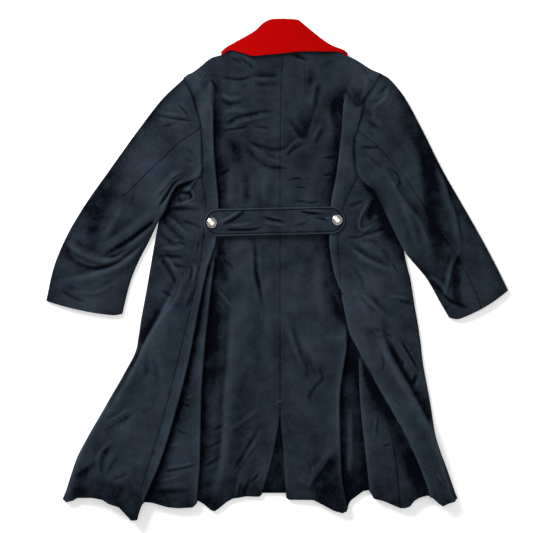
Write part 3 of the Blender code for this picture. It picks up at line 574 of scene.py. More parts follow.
BELT_CREASES = (
    (8, 3, -2.0, 220, 227.5, 233, 220.5, 248, 210.5),
    (4, 9, 1.6, 216, 224, 229, 218, 243, 210),
    (4, 5, -2.0, 220, 229.5, 234, 230, 250, 230, 266, 225.5),
    (5, 4, 1.6, 226, 226, 240, 225.5, 256, 222),
    (5, 3, -2.0, 260, 217.5, 272, 220, 288, 223),
    (3, 6, 1.6, 262, 221.5, 273, 224, 288, 226),
    (3, 5, -2.0, 295, 210.5, 307, 213, 329, 215),
    (4, 3, 1.6, 300, 209, 312, 211, 326, 211.5),
    (6, 6, -1.4, 314, 217, 322, 219, 328, 221),
    (6, 6, -1.2, 292, 227.5, 300, 225, 309, 222.5),
)

# Buttons, turned: share of the radius and of the height
BUTTON_PROFILE = table(
    "radius height",
    (0, 1.0), (0.10, 0.995), (0.20, 0.98), (0.30, 0.955), (0.40, 0.92), (0.50, 0.87), (0.60, 0.80),
    (0.70, 0.71), (0.78, 0.61), (0.84, 0.51), (0.88, 0.43), (0.905, 0.385), (0.93, 0.38), (0.96, 0.375),
    (0.99, 0.33), (1.0, 0.24), (0.98, 0.10), (0.90, 0.0), (0.45, 0.0), (0, 0.0),
)

# Patches of painted highlight, where the amount is positive, and of painted shade, where it is negative:
# middle pixel, half width and half height in pixels, and how much
PAINTED_LIGHT_PATCHES = (
    (242, 325, 13, 78, 0.55),
    (268, 330, 14, 80, 0.20),
    (313, 325, 16, 75, 0.20),
    (176, 450, 15, 50, 0.60),
    (165, 370, 18, 40, 0.25),
    (380, 285, 26, 45, 0.45),
    (395, 395, 16, 50, 0.25),
    (228, 190, 12, 24, 0.15),
    (262, 190, 10, 22, 0.12),
    (140, 208, 26, 20, 0.20),
    (214, 345, 9, 55, -0.70),
    (209, 430, 8, 50, -0.35),
    (342, 483, 8, 22, -0.60),
    (318, 492, 18, 9, -0.40),
    (341, 314, 6, 16, -0.15),
    (147, 335, 8, 26, 0.75),
    (100, 492, 45, 14, -0.35),
    (230, 494, 28, 12, -0.25),
    (178, 497, 26, 12, -0.30),
    (275, 100, 60, 40, -0.12),
    (236, 152, 11, 12, -0.40),
    (303, 124, 10, 16, -0.30),
    (376, 206, 9, 14, -0.60),
    (224, 250, 8, 18, -0.50),
    (163, 296, 11, 30, 0.45),
    (214, 408, 9, 34, 0.55),
)

# Painted shade, where the height is negative, and painted highlight, where it is positive, along lines, as
# the creases are written, but in tone only
SHADES = (
    # right sleeve's hollows
    (26, 14, -1.15, 412, 118, 426, 165, 431, 200, 435, 228, 438, 252, 440, 300),
    (17, 16, -1.2, 455, 246, 457, 270, 455, 288, 461, 314),
    (4, 9, -1.0, 424, 278, 437, 287, 446, 301),
    (10, 4, -0.8, 440, 292, 451, 302, 470, 310),
    # right side body under the sleeve
    (14, 14, -0.8, 374, 184, 382, 215, 394, 250),
    # left sleeve
    (22, 22, -1.1, 128, 148, 108, 190, 95, 214, 94, 236, 104, 262),
    (12, 12, 0.3, 124, 199, 115, 217, 108, 242),
    (8, 8, -0.8, 103, 260, 121, 251, 136, 237),
    (5, 14, -0.9, 60, 233, 73, 258, 85, 266, 107, 270),
    (12, 12, 0.3, 66, 284, 88, 280, 112, 270),
    (12, 12, -0.3, 52, 287, 91, 293, 112, 302),
    (10, 10, -0.35, 134, 174, 134, 190, 131, 208),
    # right flap's edge and the skirt beside it
    (3, 3, 0.8, 372, 330, 380, 344, 388, 360, 398, 380, 415, 403, 430, 417),
    (6, 6, 0.5, 351, 280, 356, 296, 364, 309, 367, 330),
    (13, 8, 1.0, 378, 318, 393, 342, 403, 362, 413, 382, 430, 414),
    # left armhole, and the crumple under the arm
    (2.4, 2.4, -1.6, 176, 60, 184, 79, 193.6, 100, 201.5, 130, 202, 160, 202, 190),
    (3, 2.6, -1.7, 169, 203, 175, 195, 181, 192, 188, 192.3, 191.5, 195.5, 188, 203),
    (2.4, 2.4, -1.4, 178, 192, 180, 198, 184, 206),
    (6, 8, 1.5, 204, 160, 199, 172.8, 193, 182, 187, 190, 181, 200),
    (2.4, 2.4, -1.2, 205, 166, 200, 176.5, 194.5, 186, 187, 196),
    (3, 3, 0.9, 183, 205, 190, 201, 194, 195.5, 190, 189.5, 179, 188),
    # beside the left flap
    (13, 2, -1.0, 212, 70, 215.5, 95, 216, 115, 215, 135, 214, 155, 217, 190),
    # right armhole, and the flap's head beside it
    (2.4, 2.4, -1.6, 392, 55, 380.8, 75, 373, 88.6, 364.5, 101.6, 360.6, 117, 357.3, 130,
     353.5, 143.8, 354.1, 156.2, 355.7, 169.2, 357.4, 176.4, 360, 190),
    (16, 12, -0.75, 336, 82, 350, 98, 360, 108, 356, 126),
    (12, 16, -1.1, 340, 84, 336, 98, 338.5, 114, 339, 130, 336, 158),
    # wrinkles in the right sleeve's head
    (5, 5, -0.6, 377, 96, 383, 90, 388, 82),
    (4, 4, -0.6, 366, 103, 373, 101.6, 381, 99),
    (4, 4, -0.5, 362, 110, 369.7, 115.3, 373, 118),
    (4, 4, 0.5, 388.5, 84, 386.6, 96.4, 380, 103, 372.3, 109.4, 373.6, 117.2, 378.8, 125, 369, 135),
    (16, 16, -0.5, 391, 84, 402, 105, 410, 130, 419, 160),
    # lit fold along the right under sleeve, and the dark beside it
    (3, 10, 0.6, 371, 154, 390, 179, 394, 188, 405, 204.5, 414, 214.5, 423, 231, 431, 262),
    (13, 3, -0.6, 374, 154, 392, 178, 396, 187, 407, 203.5, 416, 213.5, 425, 230, 434, 260),
    # under the right flap
    (2, 27, -1.7, 352, 330, 376, 385, 387, 405, 404, 433, 415, 460, 430, 505, 440, 530),
    # the coat's outer edges, and the hem
    (9, 9, 1.0, 146, 322, 135, 360, 122, 385, 106, 410, 86, 443),
    (6, 6, 0.9, 424, 405, 435, 437, 444, 460, 457, 500, 464, 520),
    (64, 64, -0.75, -160, 512, 100, 512, 280, 510, 440, 512, 700, 512),
    # folds and edges of the skirt
    (22, 4, -1.2, 342, 436, 331, 464, 323, 484, 314, 520),
    (10, 12, 0.6, 235, 385, 227, 430, 222, 462, 211, 500, 200, 530),
    (2.2, 2.2, 1.0, 277, 415, 279.5, 440, 282.5, 465, 287, 505),
    (6, 6, -0.5, 363, 330, 372, 331, 380, 326),
)

# Relief of the whole coat, on cells of this many millimetres, from which the cloth's painted shade and
# highlight are taken
RELIEF_CELL = 2.5
RELIEF_ORIGIN = (-580.0, -20.0)
RELIEF_CELLS = (504, 468)
RELIEF_LEAST_CLOTH = 0.05

# The darkest that the painted shade goes; then blur widths, the depth that counts as one, and the most that
# counts
DARKEST = 1.1
RELIEF_BLURS = ((6.0, 3.8, 0.6), (14.0, 5.5, 0.3), (26.0, 8.0, 0.0))

# Places of a Mix node's colour sockets
MIX_FACTOR, MIX_FIRST, MIX_SECOND, MIX_COLOUR = 0, 6, 7, 2

# Shares of the wool's tone: what all of it has, then the painted shade and highlight, clouds, patches, nap
# and felt
EVEN_TONE, PAINTED_SHADE_TONE = 0.48, 0.46
CLOUD_TONE, PATCH_TONE, NAP_TONE, FELT_TONE = 0.70, 0.80, 0.60, 0.40
COLLAR_TONE_DEPTH = 0.4
CAST_SPREAD, CAST_FROM = 3.0, 1.2

# Stage, in metres and watts: each light's name, place, size and power
FLOOR_HALF = 4.0
FLOOR_GAP = 0.0003
CAMERA_HEIGHT = 4.0
SENSOR = 36.0
GLOW = 0.3
WORLD_STRENGTH = 0.3
FLOOR_SQUARES = 8
LIGHTS = (
    ("key", (-1.9, 2.1, 2.0), 1.4, 170.0),
    ("fill", (0.4, -0.4, 3.6), 4.0, 60.0),
)

# What each half of the coat is drawn from, with the counts of points across its centre panel and its pleats
HALVES = {
    LEFT: {
        "back": LEFT_BACK, "top": LEFT_TOP, "side": LEFT_SIDE, "underarm": LEFT_UNDERARM,
        "sleeve": LEFT_SLEEVE, "armhole": LEFT_ARMHOLE, "creases": LEFT_SLEEVE_CREASES,
        "cuff_round": 0.007, "pleats": ("pleat", "flap"), "opening": "left_open", "runs": (72, 28),
    },
    RIGHT: {
        "back": RIGHT_BACK, "top": RIGHT_TOP, "side": RIGHT_SIDE, "underarm": RIGHT_UNDERARM,
        "sleeve": RIGHT_SLEEVE, "armhole": RIGHT_ARMHOLE, "creases": RIGHT_SLEEVE_CREASES,
        "cuff_round": 0.024, "pleats": ("fold", "pleat", "flap"), "opening": "right_open", "runs": (54, 20),
    },
}


def smooth(at, columns, name):
    """One column at any places between the table's rows, by a monotone cubic."""
    places, values = columns[next(iter(columns))], columns[name]
    at = np.asarray(at, float)
    steps = np.diff(places)
    slopes = np.diff(values) / steps
    same_way = slopes[:-1] * slopes[1:] > 0
    sums = np.where(same_way, slopes[:-1] + slopes[1:], 1.0)
    inner = np.where(same_way, 2 * slopes[:-1] * slopes[1:] / sums, 0.0)
    tangents = np.concatenate([slopes[:1], inner, slopes[-1:]])
    i = np.clip(np.searchsorted(places, at) - 1, 0, len(steps) - 1)
    t = np.clip((at - places[i]) / steps[i], 0, 1)
    rise = (3 - 2 * t) * t * t
    bend = tangents[i] * t * (1 - t) ** 2 - tangents[i + 1] * t * t * (1 - t)
    return values[i] * (1 - rise) + values[i + 1] * rise + steps[i] * bend


def ease(value, start, end):
    """0 before start, 1 after end, smooth between."""
    t = np.clip((np.asarray(value, float) - start) / (end - start), 0, 1)
    return t * t * (3 - 2 * t)


def drop_at(place, edge):
    """The drop of one place on an edge."""
    return float(smooth(place, edge, "drop"))


def hem_drop(across):
    """The drop of the hem as it lies, with its lobes."""
    return np.interp(across, HEM["across"], HEM["drop"])


def neck_lift(drop):
    """How far the collar's wings hold up what lies over them, by the neck."""
    return NECK_LIFT * (1 - ease(drop, *NECK_LIFT_DROPS))


def back_level(out, drop):
    """The level at which the back rests on the fronts, higher over their overlap."""
    over = ease(-np.abs(out), -OVERLAP_HALF - OVERLAP_SLOPE, -OVERLAP_HALF)
    return BACK_LEVEL_OUT + (BACK_LEVEL_MID - BACK_LEVEL_OUT) * over + neck_lift(drop - NECK_LAG)


def pleat_rise(drop, lap):
    """How high a pleat stacks: more below the belt, less where it fades out."""
    full = PLEAT_RISE + (FULL_RISE - PLEAT_RISE) * ease(drop, *FULL_RISE_DROPS)
    return full * np.clip(1 + np.minimum(lap, 0) / FADE, 0, 1)


def half_turn(points):
    """(bulge, climb) at these many points of half a round of radius 1."""
    angles = [math.pi * k / (points - 1) for k in range(points)]
    return [(math.sin(angle), 1 - math.cos(angle)) for angle in angles]


def pleat(edge, lap, level, rise, outer_over, turn_points=8):
    """(out, level) columns of one pleat, walking outwards: the wall runs out, doubles back and runs out
    again, or climbs a plain ramp where the pleat has faded."""
    inner, outer = (edge, edge + lap) if outer_over else (edge - lap, edge)
    radius, way = np.abs(rise) / 4, np.sign(rise)
    half = RAMP_HALF - np.maximum(0, -lap) / RAMP_CLOSES
    sharp = np.clip(lap / SHARP_LAP, 0, 1)
    points = []
    for k, turned in enumerate(2 * half_turn(turn_points)):
        share = k / (2 * turn_points - 1)
        ramp_out, ramp_level = edge + half * (2 * share - 1), level + rise * ease(share, 0, 1)
        bulge, climb = radius * turned[0], radius * turned[1]
        if k < turn_points:
            turn_out, turn_level = outer - radius + bulge, level + way * climb
        else:
            turn_out, turn_level = inner + radius - bulge, level + way * (2 * radius + climb)
        points.append((
            ramp_out * (1 - sharp) + turn_out * sharp,
            ramp_level * (1 - sharp) + turn_level * sharp,
        ))
    return points


def run(start, end, count):
    """Columns between two others, without them, closer together near both."""
    shares = [(1 - math.cos(math.pi * k / (count + 1))) / 2 for k in range(1, count + 1)]
    return [tuple(a + (b - a) * share for a, b in zip(start, end, strict=True)) for share in shares]


def line_drop(top, share):
    """The drop at a share of the way from a panel's top to the hem's straight line."""
    return top + (HEM_LINE - top) * share


def from_px(px, py):
    """(across, drop) of a pixel of the photograph."""
    return (px - CENTRE_PX) * PIXEL, (py - TOP_PX) * PIXEL


def crease_path(places, steps=14):
    """(across, drop) of evenly spaced points on a smooth line through the pixels."""
    across, drop = from_px(np.array(places[0::2], float), np.array(places[1::2], float))
    far = np.concatenate([[0], np.cumsum(np.hypot(np.diff(across), np.diff(drop)))])
    columns = {"far": far, "across": across, "drop": drop}
    at = np.linspace(0, far[-1], steps + 1)
    return np.stack([smooth(at, columns, "across"), smooth(at, columns, "drop")], axis=-1)


def crease_field(across, drop, creases, shoulder=CREASE_SHOULDER):
    """What the creases add to the level at each place."""
    total = np.zeros_like(across)
    for left, right, height, *places in creases:
        path = crease_path(places)
        steps = len(path) - 1
        reach = CREASE_REACH * max(left, right)
        low, high = path.min(axis=0) - reach, path.max(axis=0) + reach
        near = (across > low[0]) & (across < high[0]) & (drop > low[1]) & (drop < high[1])
        if not near.any():
            continue
        place = np.stack([across[near], drop[near]], axis=-1)
        best = np.full(len(place), np.inf)
        beside, along = np.zeros(len(place)), np.zeros(len(place))
        for k in range(steps):
            way = path[k + 1] - path[k]
            length = math.hypot(*way)
            ahead = np.clip(((place - path[k]) @ way) / length**2, 0, 1)
            away = place - path[k] - ahead[:, None] * way
            far = np.hypot(away[:, 0], away[:, 1])
            closer = far < best
            side = np.sign(away[:, 0] * way[1] - away[:, 1] * way[0])
            best = np.where(closer, far, best)
            beside = np.where(closer, far * side, beside)
            along = np.where(closer, (k + ahead) / steps, along)
        width = np.where(beside > 0, left, right)
        ends_in = ease(np.minimum(along, 1 - along), 0, CREASE_TAPER)
        apart = (beside / width) ** 2
        total[near] += height * ends_in * (1 - shoulder * apart) * np.exp(-apart)
    return total


def lay(columns, side, shares):
    """(across, drop, level) arrays from (out, level, top drop) columns, with the hem as it lies."""
    out = np.stack([np.broadcast_to(column[0], shares.shape) for column in columns], axis=1)
    level = np.stack([np.broadcast_to(column[1], shares.shape) for column in columns], axis=1)
    top = np.array([column[2] for column in columns])[None, :]
    drop = line_drop(top, shares[:, None])
    drop = drop + (hem_drop(side * out) - HEM_LINE) * ease(drop, HEM_SHAPED, HEM_LINE)
    return side * out, drop, level


def seam_dip(across, drop, level, first=SEAM_DIP_WIDTH, last=SEAM_DIP_WIDTH):
    """Lowers a panel's outer columns over these widths, where it is sewn to its neighbour."""
    steps = np.hypot(np.diff(across, axis=1), np.diff(drop, axis=1))
    zero = np.zeros((len(across), 1))
    from_first = np.concatenate([zero, np.cumsum(steps, axis=1)], axis=1)
    from_last = from_first[:, -1:] - from_first
    for width, far in ((first, from_first), (last, from_last)):
        if width:
            level = level - SEAM_DIP * np.exp(-((far / width) ** 2))
    return level


def crease_body(across, drop, level, least):
    """Levels of the body with its creases, clear of what is under it, and the same with their whole depth,
    from which only the painted shade is taken.
    """
    raised = np.clip((level - CREASED_FROM) / (CREASED_FULLY - CREASED_FROM), 0, 1)
    wanted = level + crease_field(across, drop, BODY_CREASES) * raised
    laid = np.maximum(wanted, np.minimum(least, level))
    return laid, wanted


def back_columns(side, shares, edge_run=8):
    """Columns of a back, from the centre edge to the armhole or side seam."""
    half = HALVES[side]
    lines, edge_of = half["back"], half["top"]
    centre_run, pleat_run = half["runs"]
    centre_top, seam_top = drop_at(0, edge_of), drop_at(lines["seam"][0], edge_of)
    drop = line_drop(centre_top, shares)
    opening = smooth(drop, CENTRE, half["opening"])
    centre = side * smooth(drop, CENTRE, "across") + opening + SEAM_GAP / 2
    columns = [(centre, back_level(centre, drop), centre_top)]
    level = None
    for name in half["pleats"]:
        top = drop_at(lines[name][0], edge_of)
        drop = line_drop(top, shares)
        beside = line_drop(seam_top, shares) if (side, name) == (RIGHT, "flap") else drop
        edge, lap = smooth(drop, lines, name), smooth(beside, lines, name + "_lap")
        rise = pleat_rise(beside, lap) * (-1 if name == "fold" else 1)
        first = level is None
        if first:
            level = back_level(edge, drop) - np.minimum(0, rise)
        turned = [(out, height, top) for out, height in pleat(edge, lap, level, rise, name != "fold")]
        between = run(columns[-1], turned[0], centre_run if first else pleat_run)
        if first:
            sunk = back_level(edge, drop) - level
            between = [
                (out, back_level(out, line_drop(above, shares)) - sunk * ease(k, 0, len(between)), above)
                for k, (out, _, above) in enumerate(between)
            ]
        columns += between + turned
        level = level + rise
    seam = (smooth(line_drop(seam_top, shares), lines, "seam") - SEAM_GAP / 2, level, seam_top)
    return columns + run(columns[-1], seam, edge_run) + [seam]


def underarm_top(side):
    """The drop at which the side seam starts."""
    half = HALVES[side]
    return line_drop(drop_at(half["back"]["seam"][0], half["top"]), UNDERARM_SHARE)


def side_walk(side, shares, side_run=54, edge_run=10):
    """(out, level) columns of a side body, from the side seam over flap and ridge to the outline."""
    half = HALVES[side]
    lines, back, underarm = half["side"], half["back"], half["underarm"]
    seam, level, _ = back_columns(side, UNDERARM_SHARE + (1 - UNDERARM_SHARE) * shares)[-1]
    columns = [(seam + SEAM_LEAN, level)]
    drop = line_drop(underarm_top(side), shares)
    if side == RIGHT:
        edge, lap = smooth(drop, lines, "flap"), smooth(drop, lines, "flap_lap")
        rise = pleat_rise(drop, 0) - pleat_rise(drop, smooth(drop, back, "flap_lap"))
        turned = pleat(edge, lap, level, rise, True)
        columns += run(columns[-1], turned[0], edge_run) + turned
        level = level + rise
        hidden = np.maximum(edge + lap, columns[-1][0])
    else:
        hidden = smooth(drop, back, "flap") + smooth(drop, back, "flap_lap")
        hidden = np.maximum(hidden, columns[0][0])
    shoulder = (hidden + SHOULDER_REACH, level)
    columns += run(columns[-1], shoulder, edge_run) + [shoulder]
    drop = line_drop(drop_at(lines["ridge"][0], underarm), shares)
    outline = smooth(line_drop(underarm["drop"][-1], shares), lines, "outline")
    end, ridge, firm = outline - SIDE_TURN, smooth(drop, lines, "ridge"), smooth(drop, lines, "firm")
    for k in range(1, side_run):
        share = k / side_run
        out = shoulder[0] + (end - shoulder[0]) * share
        slack = level + (SIDE_EDGE_LEVEL - level) * float(ease(share, 0, 1))
        held = level + RIDGE_SWELL * np.exp(-(((out - ridge) / RIDGE_SWELL_WIDTH) ** 2))
        past = ease(out, ridge, ridge + RIDGE_FALL) * ease(end - ridge, *RIDGE_ROOM)
        lies = slack + firm * (held * (1 - past) + (SIDE_EDGE_LEVEL + RIDGE_FOOT) * past - slack)
        settled = ease(end - out, 0, SIDE_EDGE_SETTLES)
        columns.append((out, SIDE_EDGE_LEVEL + (lies - SIDE_EDGE_LEVEL) * settled))
    return columns, outline


def edge_face(level, turn):
    """Levels with the columns from a turned edge on as high as the one before, so the painted shade goes on
    over it unchanged.
    """
    face = level.copy()
    face[:, turn:] = np.maximum(level[:, turn:], level[:, turn - 1:turn])
    return face


def side_arrays(side, shares, turn_points=9, return_run=3):
    """Arrays of a side body: the walk to the outline, the turn there and the return along the floor."""
    underarm = HALVES[side]["underarm"]
    start, _ = side_walk(side, np.zeros(1))
    walk, outline = side_walk(side, shares)
    seam_top, edge_top = underarm_top(side), underarm["drop"][-1]
    columns = [(*walk[0], seam_top)]
    for (out, level), (first_out, _) in zip(walk[1:], start[1:], strict=True):
        columns.append((out, level, max(seam_top, drop_at(first_out[0], underarm))))
    for bulge, climb in half_turn(turn_points):
        level = SIDE_EDGE_LEVEL - SIDE_TURN * climb + 0 * outline
        columns.append((outline - SIDE_TURN * (1 - bulge), level, edge_top))
    floor = (outline - SIDE_RETURN, FLOOR_LEVEL + 0 * outline, edge_top)
    columns += run(columns[-1], floor, return_run) + [floor]
    across, drop, level = lay(columns, side, shares)
    tucked = 1 - ease(drop - drop[:1], 0, UNDERARM_TUCK)
    tucked = tucked * ease(np.abs(across - across[:, :1]), UNDERARM_TUCK_FROM, UNDERARM_TUCK)
    level = np.minimum(level, level * (1 - tucked) + UNDERARM_LEVEL * tucked)
    level, face = crease_body(across, drop, seam_dip(across, drop, level, last=None), UNDERARM_LEVEL)
    return across, drop, level, edge_face(face, len(walk) - SIDE_FACE_COLUMNS)


def back_arrays(side, shares):
    """Arrays of a back, with its top edge on the neck and shoulder line."""
    edge_of = HALVES[side]["top"]
    columns = [(out, level, drop_at(out[0], edge_of)) for out, level, _ in back_columns(side, shares)]
    return lay(columns, side, shares)


def front_arrays(side, shares, count=24):
    """Arrays of a front, from its armhole or side edge to the front edge past the centre."""
    half = HALVES[side]
    lines, back, underarm = half["side"], half["back"], half["underarm"]
    shoulder = drop_at(side * back["seam"][0], FRONT_TOP)
    drop = shoulder + (FRONT_HEM - shoulder) * shares
    armhole = smooth(drop, back, "seam") - FRONT_SET_IN
    seam = smooth(drop, lines, "outline") - SIDE_RETURN - FRONT_SEAM_EASE
    part = ease(drop, FRONT_UNDERARM, underarm["drop"][-1])
    outer = side * (armhole * (1 - part) + seam * part)
    across = outer[:, None] + (-side * OVERLAP_HALF - outer[:, None]) * np.linspace(0, 1, count)[None, :]
    top = smooth(across, FRONT_TOP, "drop")
    here = top + (FRONT_HEM - top) * shares[:, None]
    level = FLOOR_LEVEL + neck_lift(here)
    if side == RIGHT:
        level = level + FRONT_STEP * ease(OVERLAP_HALF + 2 * OVERLAP_SLOPE - across, 0, OVERLAP_SLOPE / 2)
    return across, here, level


def sleeve_place(side, along, across):
    """(out, drop) of a sleeve at shares of its length and of its flat width."""
    half = HALVES[side]
    rows = half["sleeve"]
    corner = np.clip((across - 1) / CUFF_ROUND_WIDTH + 1, 0, 1) ** 2
    along = along - half["cuff_round"] * corner * ease(along, CUFF_ROUND_FROM, 1)

    def station(place):
        outer = np.stack([smooth(place, rows, "outer"), smooth(place, rows, "outer_drop")])
        inner = np.stack([smooth(place, rows, "inner"), smooth(place, rows, "inner_drop")])
        way = (inner - outer) / np.hypot(*(inner - outer))
        bow = smooth(place, rows, "bow") * 4 * across * (1 - across)
        return outer + (inner - outer) * across + np.stack([-way[1], way[0]]) * bow

    drop = rows["outer_drop"][0] + (rows["inner_drop"][0] - rows["outer_drop"][0]) * across
    armhole = np.stack([smooth(drop, half["armhole"], "out") + ARMHOLE_EASE, drop])
    return station(along) + (armhole - station(np.zeros_like(along))) * (1 - ease(along, 0, HEAD_LENGTH))


def sleeve_arrays(side, along, top_piece, count=42, turn_points=9, under_count=6):
    """Arrays of one sleeve piece: from the back seam, round its edge and under to the forearm seam."""
    rows, creases = HALVES[side]["sleeve"], HALVES[side]["creases"]
    seam, lift = smooth(along, rows, "seam"), smooth(along, rows, "inner_lift")
    crown = smooth(along, rows, "crown")
    ends = [sleeve_place(side, along, np.full_like(along, share)) for share in (0.0, 1.0)]
    width = np.hypot(*(ends[1] - ends[0]))
    inset, gap = SLEEVE_EDGE / 2 / width, SEAM_GAP / 2 / width
    edge, way = (0.0, 1) if top_piece else (1.0, -1)
    rim = edge + way * inset

    def bottom(across):
        return FLOOR_LEVEL + lift * ease(across, LIFT_UNDER_FROM, 1.0)

    def top(across):
        room = np.minimum(1, np.minimum(across, 1 - across) * EDGE_FOLDS_FADE)
        out, drop = sleeve_place(side, along, across)
        raised = crown * (4 * across * (1 - across)) ** CROWN_ROUND
        raised = raised + crease_field(side * out, drop, creases) * room
        lifted = FLOOR_LEVEL + SLEEVE_EDGE + lift * ease(across, LIFT_OVER_FROM, 1.0)
        return lifted + np.maximum(raised, DEEPEST_SLEEVE_FOLD)

    columns = []
    for k in range(count):
        share = (1 - math.cos(math.pi * k / count)) / 2
        across = seam - way * gap + (rim - seam + way * gap) * share
        columns.append((across, top(across)))
    high, low = top(rim), bottom(rim)
    for bulge, climb in half_turn(turn_points):
        columns.append((rim - way * inset * bulge, high + (low - high) * climb / 2))
    end = FOREARM_SEAM - way * gap
    for k in range(1, under_count + 1):
        across = rim + (end - rim) * k / under_count
        columns.append((across, bottom(across)))
    across, level = (np.stack(part, axis=1) for part in zip(*columns, strict=True))
    out, drop = np.stack([sleeve_place(side, along, share) for share in across.T], axis=2)
    shown = 1 if side == RIGHT else 1 - LEFT_SEAM_FADE * ease(along, *LEFT_SEAM_FADES)[:, None]
    level = level + (seam_dip(side * out, drop, level, last=None) - level) * shown
    return side * out, drop, level, edge_face(level, count)


def collar_arrays(shares, collar_points=60, turn_points=9, wing_points=10, roll_points=7):
    """Arrays of the collar fall, from under its roll to its outer edge: left wing, neck, right wing."""
    def column(across, roll, outer, roll_level, edge_level):
        drop = roll + (outer - roll) * shares
        level = roll_level + (edge_level - roll_level) * shares
        angles = np.linspace(math.pi, 0, roll_points)[:-1]
        radius = COLLAR_ROLL_RADIUS if roll_level > COLLAR_WALL + 2 * COLLAR_ROLL_RADIUS else WING_ROLL_RADIUS
        rolled = roll + radius * (1 - np.sin(angles))
        under = roll_level - radius * (1 - np.cos(angles))
        return np.full(len(drop) + len(rolled), across), np.append(rolled, drop), np.append(under, level)

    columns = []
    left, right = COLLAR_ENDS
    for side, end in ((LEFT, left), (RIGHT, right)):
        roll, outer = drop_at(end, COLLAR_ROLL), drop_at(end, COLLAR_EDGE)
        radius = (COLLAR_SIDE_LEVEL - WING_LEVEL) / 2
        half = []
        for k in range(wing_points):
            part = k / wing_points
            half.append(column(
                side * WING_TIP[0] + (end - side * WING_TIP[0]) * part,
                WING_TIP[1] + (roll - WING_TIP[1]) * part,
                WING_POINT_DROP + (outer - WING_POINT_DROP) * part,
                WING_LEVEL, WING_LEVEL,
            ))
        for bulge, climb in half_turn(turn_points):
            level = WING_LEVEL + radius * climb
            half.append(column(end - side * radius * (1 - bulge), roll, outer, level, level))
        if side == LEFT:
            columns += half
            for k in range(1, collar_points):
                across = left + (right - left) * k / collar_points
                part = min(1.0, COLLAR_LIFTS * min(k, collar_points - k) / collar_points)
                share = float(ease(part, 0, 1))
                columns.append(column(
                    across, drop_at(across, COLLAR_ROLL), drop_at(across, COLLAR_EDGE),
                    COLLAR_SIDE_LEVEL + (COLLAR_ROLL_LEVEL - COLLAR_SIDE_LEVEL) * share,
                    COLLAR_SIDE_LEVEL + (COLLAR_EDGE_LEVEL - COLLAR_SIDE_LEVEL) * share,
                ))
        else:
            columns += half[::-1]
    return tuple(np.stack(part, axis=1) for part in zip(*columns, strict=True))


def underlap_arrays(shares, count=48):
    """Arrays of the vent underlap, which widens to the hem under both edges of the vent."""
    drop = VENT_TOP + UNDERLAP_START + (UNDERLAP_HEM - VENT_TOP - UNDERLAP_START) * shares
    left = -UNDERLAP_HALF - smooth(drop, CENTRE, "left_open")
    right = UNDERLAP_HALF + smooth(drop, CENTRE, "right_open")
    across = left[:, None] + (right - left)[:, None] * np.linspace(0, 1, count)[None, :]
    down = np.broadcast_to(drop[:, None], across.shape)
    level = np.full_like(across, UNDERLAP_LEVEL)
    # The last array, lowered, gives the underlap painted shade
    return across, down, level, level - UNDERLAP_SHADE


def stand_arrays(shares, count=16):
    """Arrays of the collar stand, from its top under the roll to the neck seam."""
    drop = STAND_DROPS[0] + (STAND_DROPS[1] - STAND_DROPS[0]) * shares
    level = STAND_LEVELS[0] + (STAND_LEVELS[1] - STAND_LEVELS[0]) * shares
    half = STAND_HALF * (STAND_TAPER + (1 - STAND_TAPER) * shares)
    across = half[:, None] * np.linspace(-1, 1, count)[None, :]
    return across, np.broadcast_to(drop[:, None], across.shape), np.broadcast_to(level[:, None], across.shape)


def to_world(across, drop, level):
    """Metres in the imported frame."""
    return np.stack([(across + SHIFT_ACROSS) * MM, (SHIFT_DROP - drop) * MM, level * MM], axis=-1)


def smooth_mesh(name, grid):
    """A smooth mesh from a grid that is done with."""
    mesh = bpy.data.meshes.new(name)
    grid.to_mesh(mesh)
    grid.free()
    mesh.shade_smooth()
    return mesh


def link(name, mesh, material, node=None):
    """A new piece of the coat on the root body, which stands for a node where one is given."""
    mesh.materials.append(material)
    piece = bpy.data.objects.new(name, mesh)
    bpy.context.scene.collection.objects.link(piece)
    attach(piece, "root")
    if node:
        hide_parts(node)
    return piece


def halved(values):
    """A grid of values with one more between each two."""
    for axis in (0, 1):
        values = np.moveaxis(values, axis, 0)
        twice = np.empty((2 * len(values) - 1, values.shape[1]))
        twice[0::2] = values
        twice[1::2] = (values[1:] + values[:-1]) / 2
        values = np.moveaxis(twice, 0, axis)
    return values


def blurred(values, width):
    """A map blurred over a width in millimetres."""
    waves = np.fft.fftfreq(values.shape[0])[:, None] ** 2 + np.fft.rfftfreq(values.shape[1])[None, :] ** 2
    kept = np.exp(-2 * (math.pi * width / RELIEF_CELL) ** 2 * waves)
    return np.fft.irfft2(np.fft.rfft2(values) * kept, values.shape)


def relief_cell(across, drop):
    """(row, column) of a place on the relief's cells, with the part of a cell left in."""
    column = (across - RELIEF_ORIGIN[0]) / RELIEF_CELL
    row = (drop - RELIEF_ORIGIN[1]) / RELIEF_CELL
    return np.clip(row, 0, RELIEF_CELLS[0] - 2), np.clip(column, 0, RELIEF_CELLS[1] - 2)


@functools.cache
def relief_maps():
    """The coat's upper surface, blurred by each width, where it is cloth."""
    top = np.zeros(RELIEF_CELLS)
    for arrays in coat_sections().values():
        across, drop, level = (halved(values) for values in arrays[:3])
        row, column = (np.rint(cell).astype(int) for cell in relief_cell(across, drop))
        np.maximum.at(top, (row, column), level)
    cloth = (top > 0).astype(float)
    return [
        blurred(top, width) / np.maximum(blurred(cloth, width), RELIEF_LEAST_CLOTH)
        for width, _, _ in RELIEF_BLURS
    ]


# Painted highlight and painted shade in patches
def faded(across, drop):
    """How much the patches of painted highlight lighten each place, and those of painted shade darken it."""
    total = np.zeros_like(across)
    for px, py, wide, high, amount in PAINTED_LIGHT_PATCHES:
        x, y = from_px(px, py)
        away = ((across - x) / (wide * PIXEL)) ** 2 + ((drop - y) / (high * PIXEL)) ** 2
        total += amount * np.exp(-away)
    return total


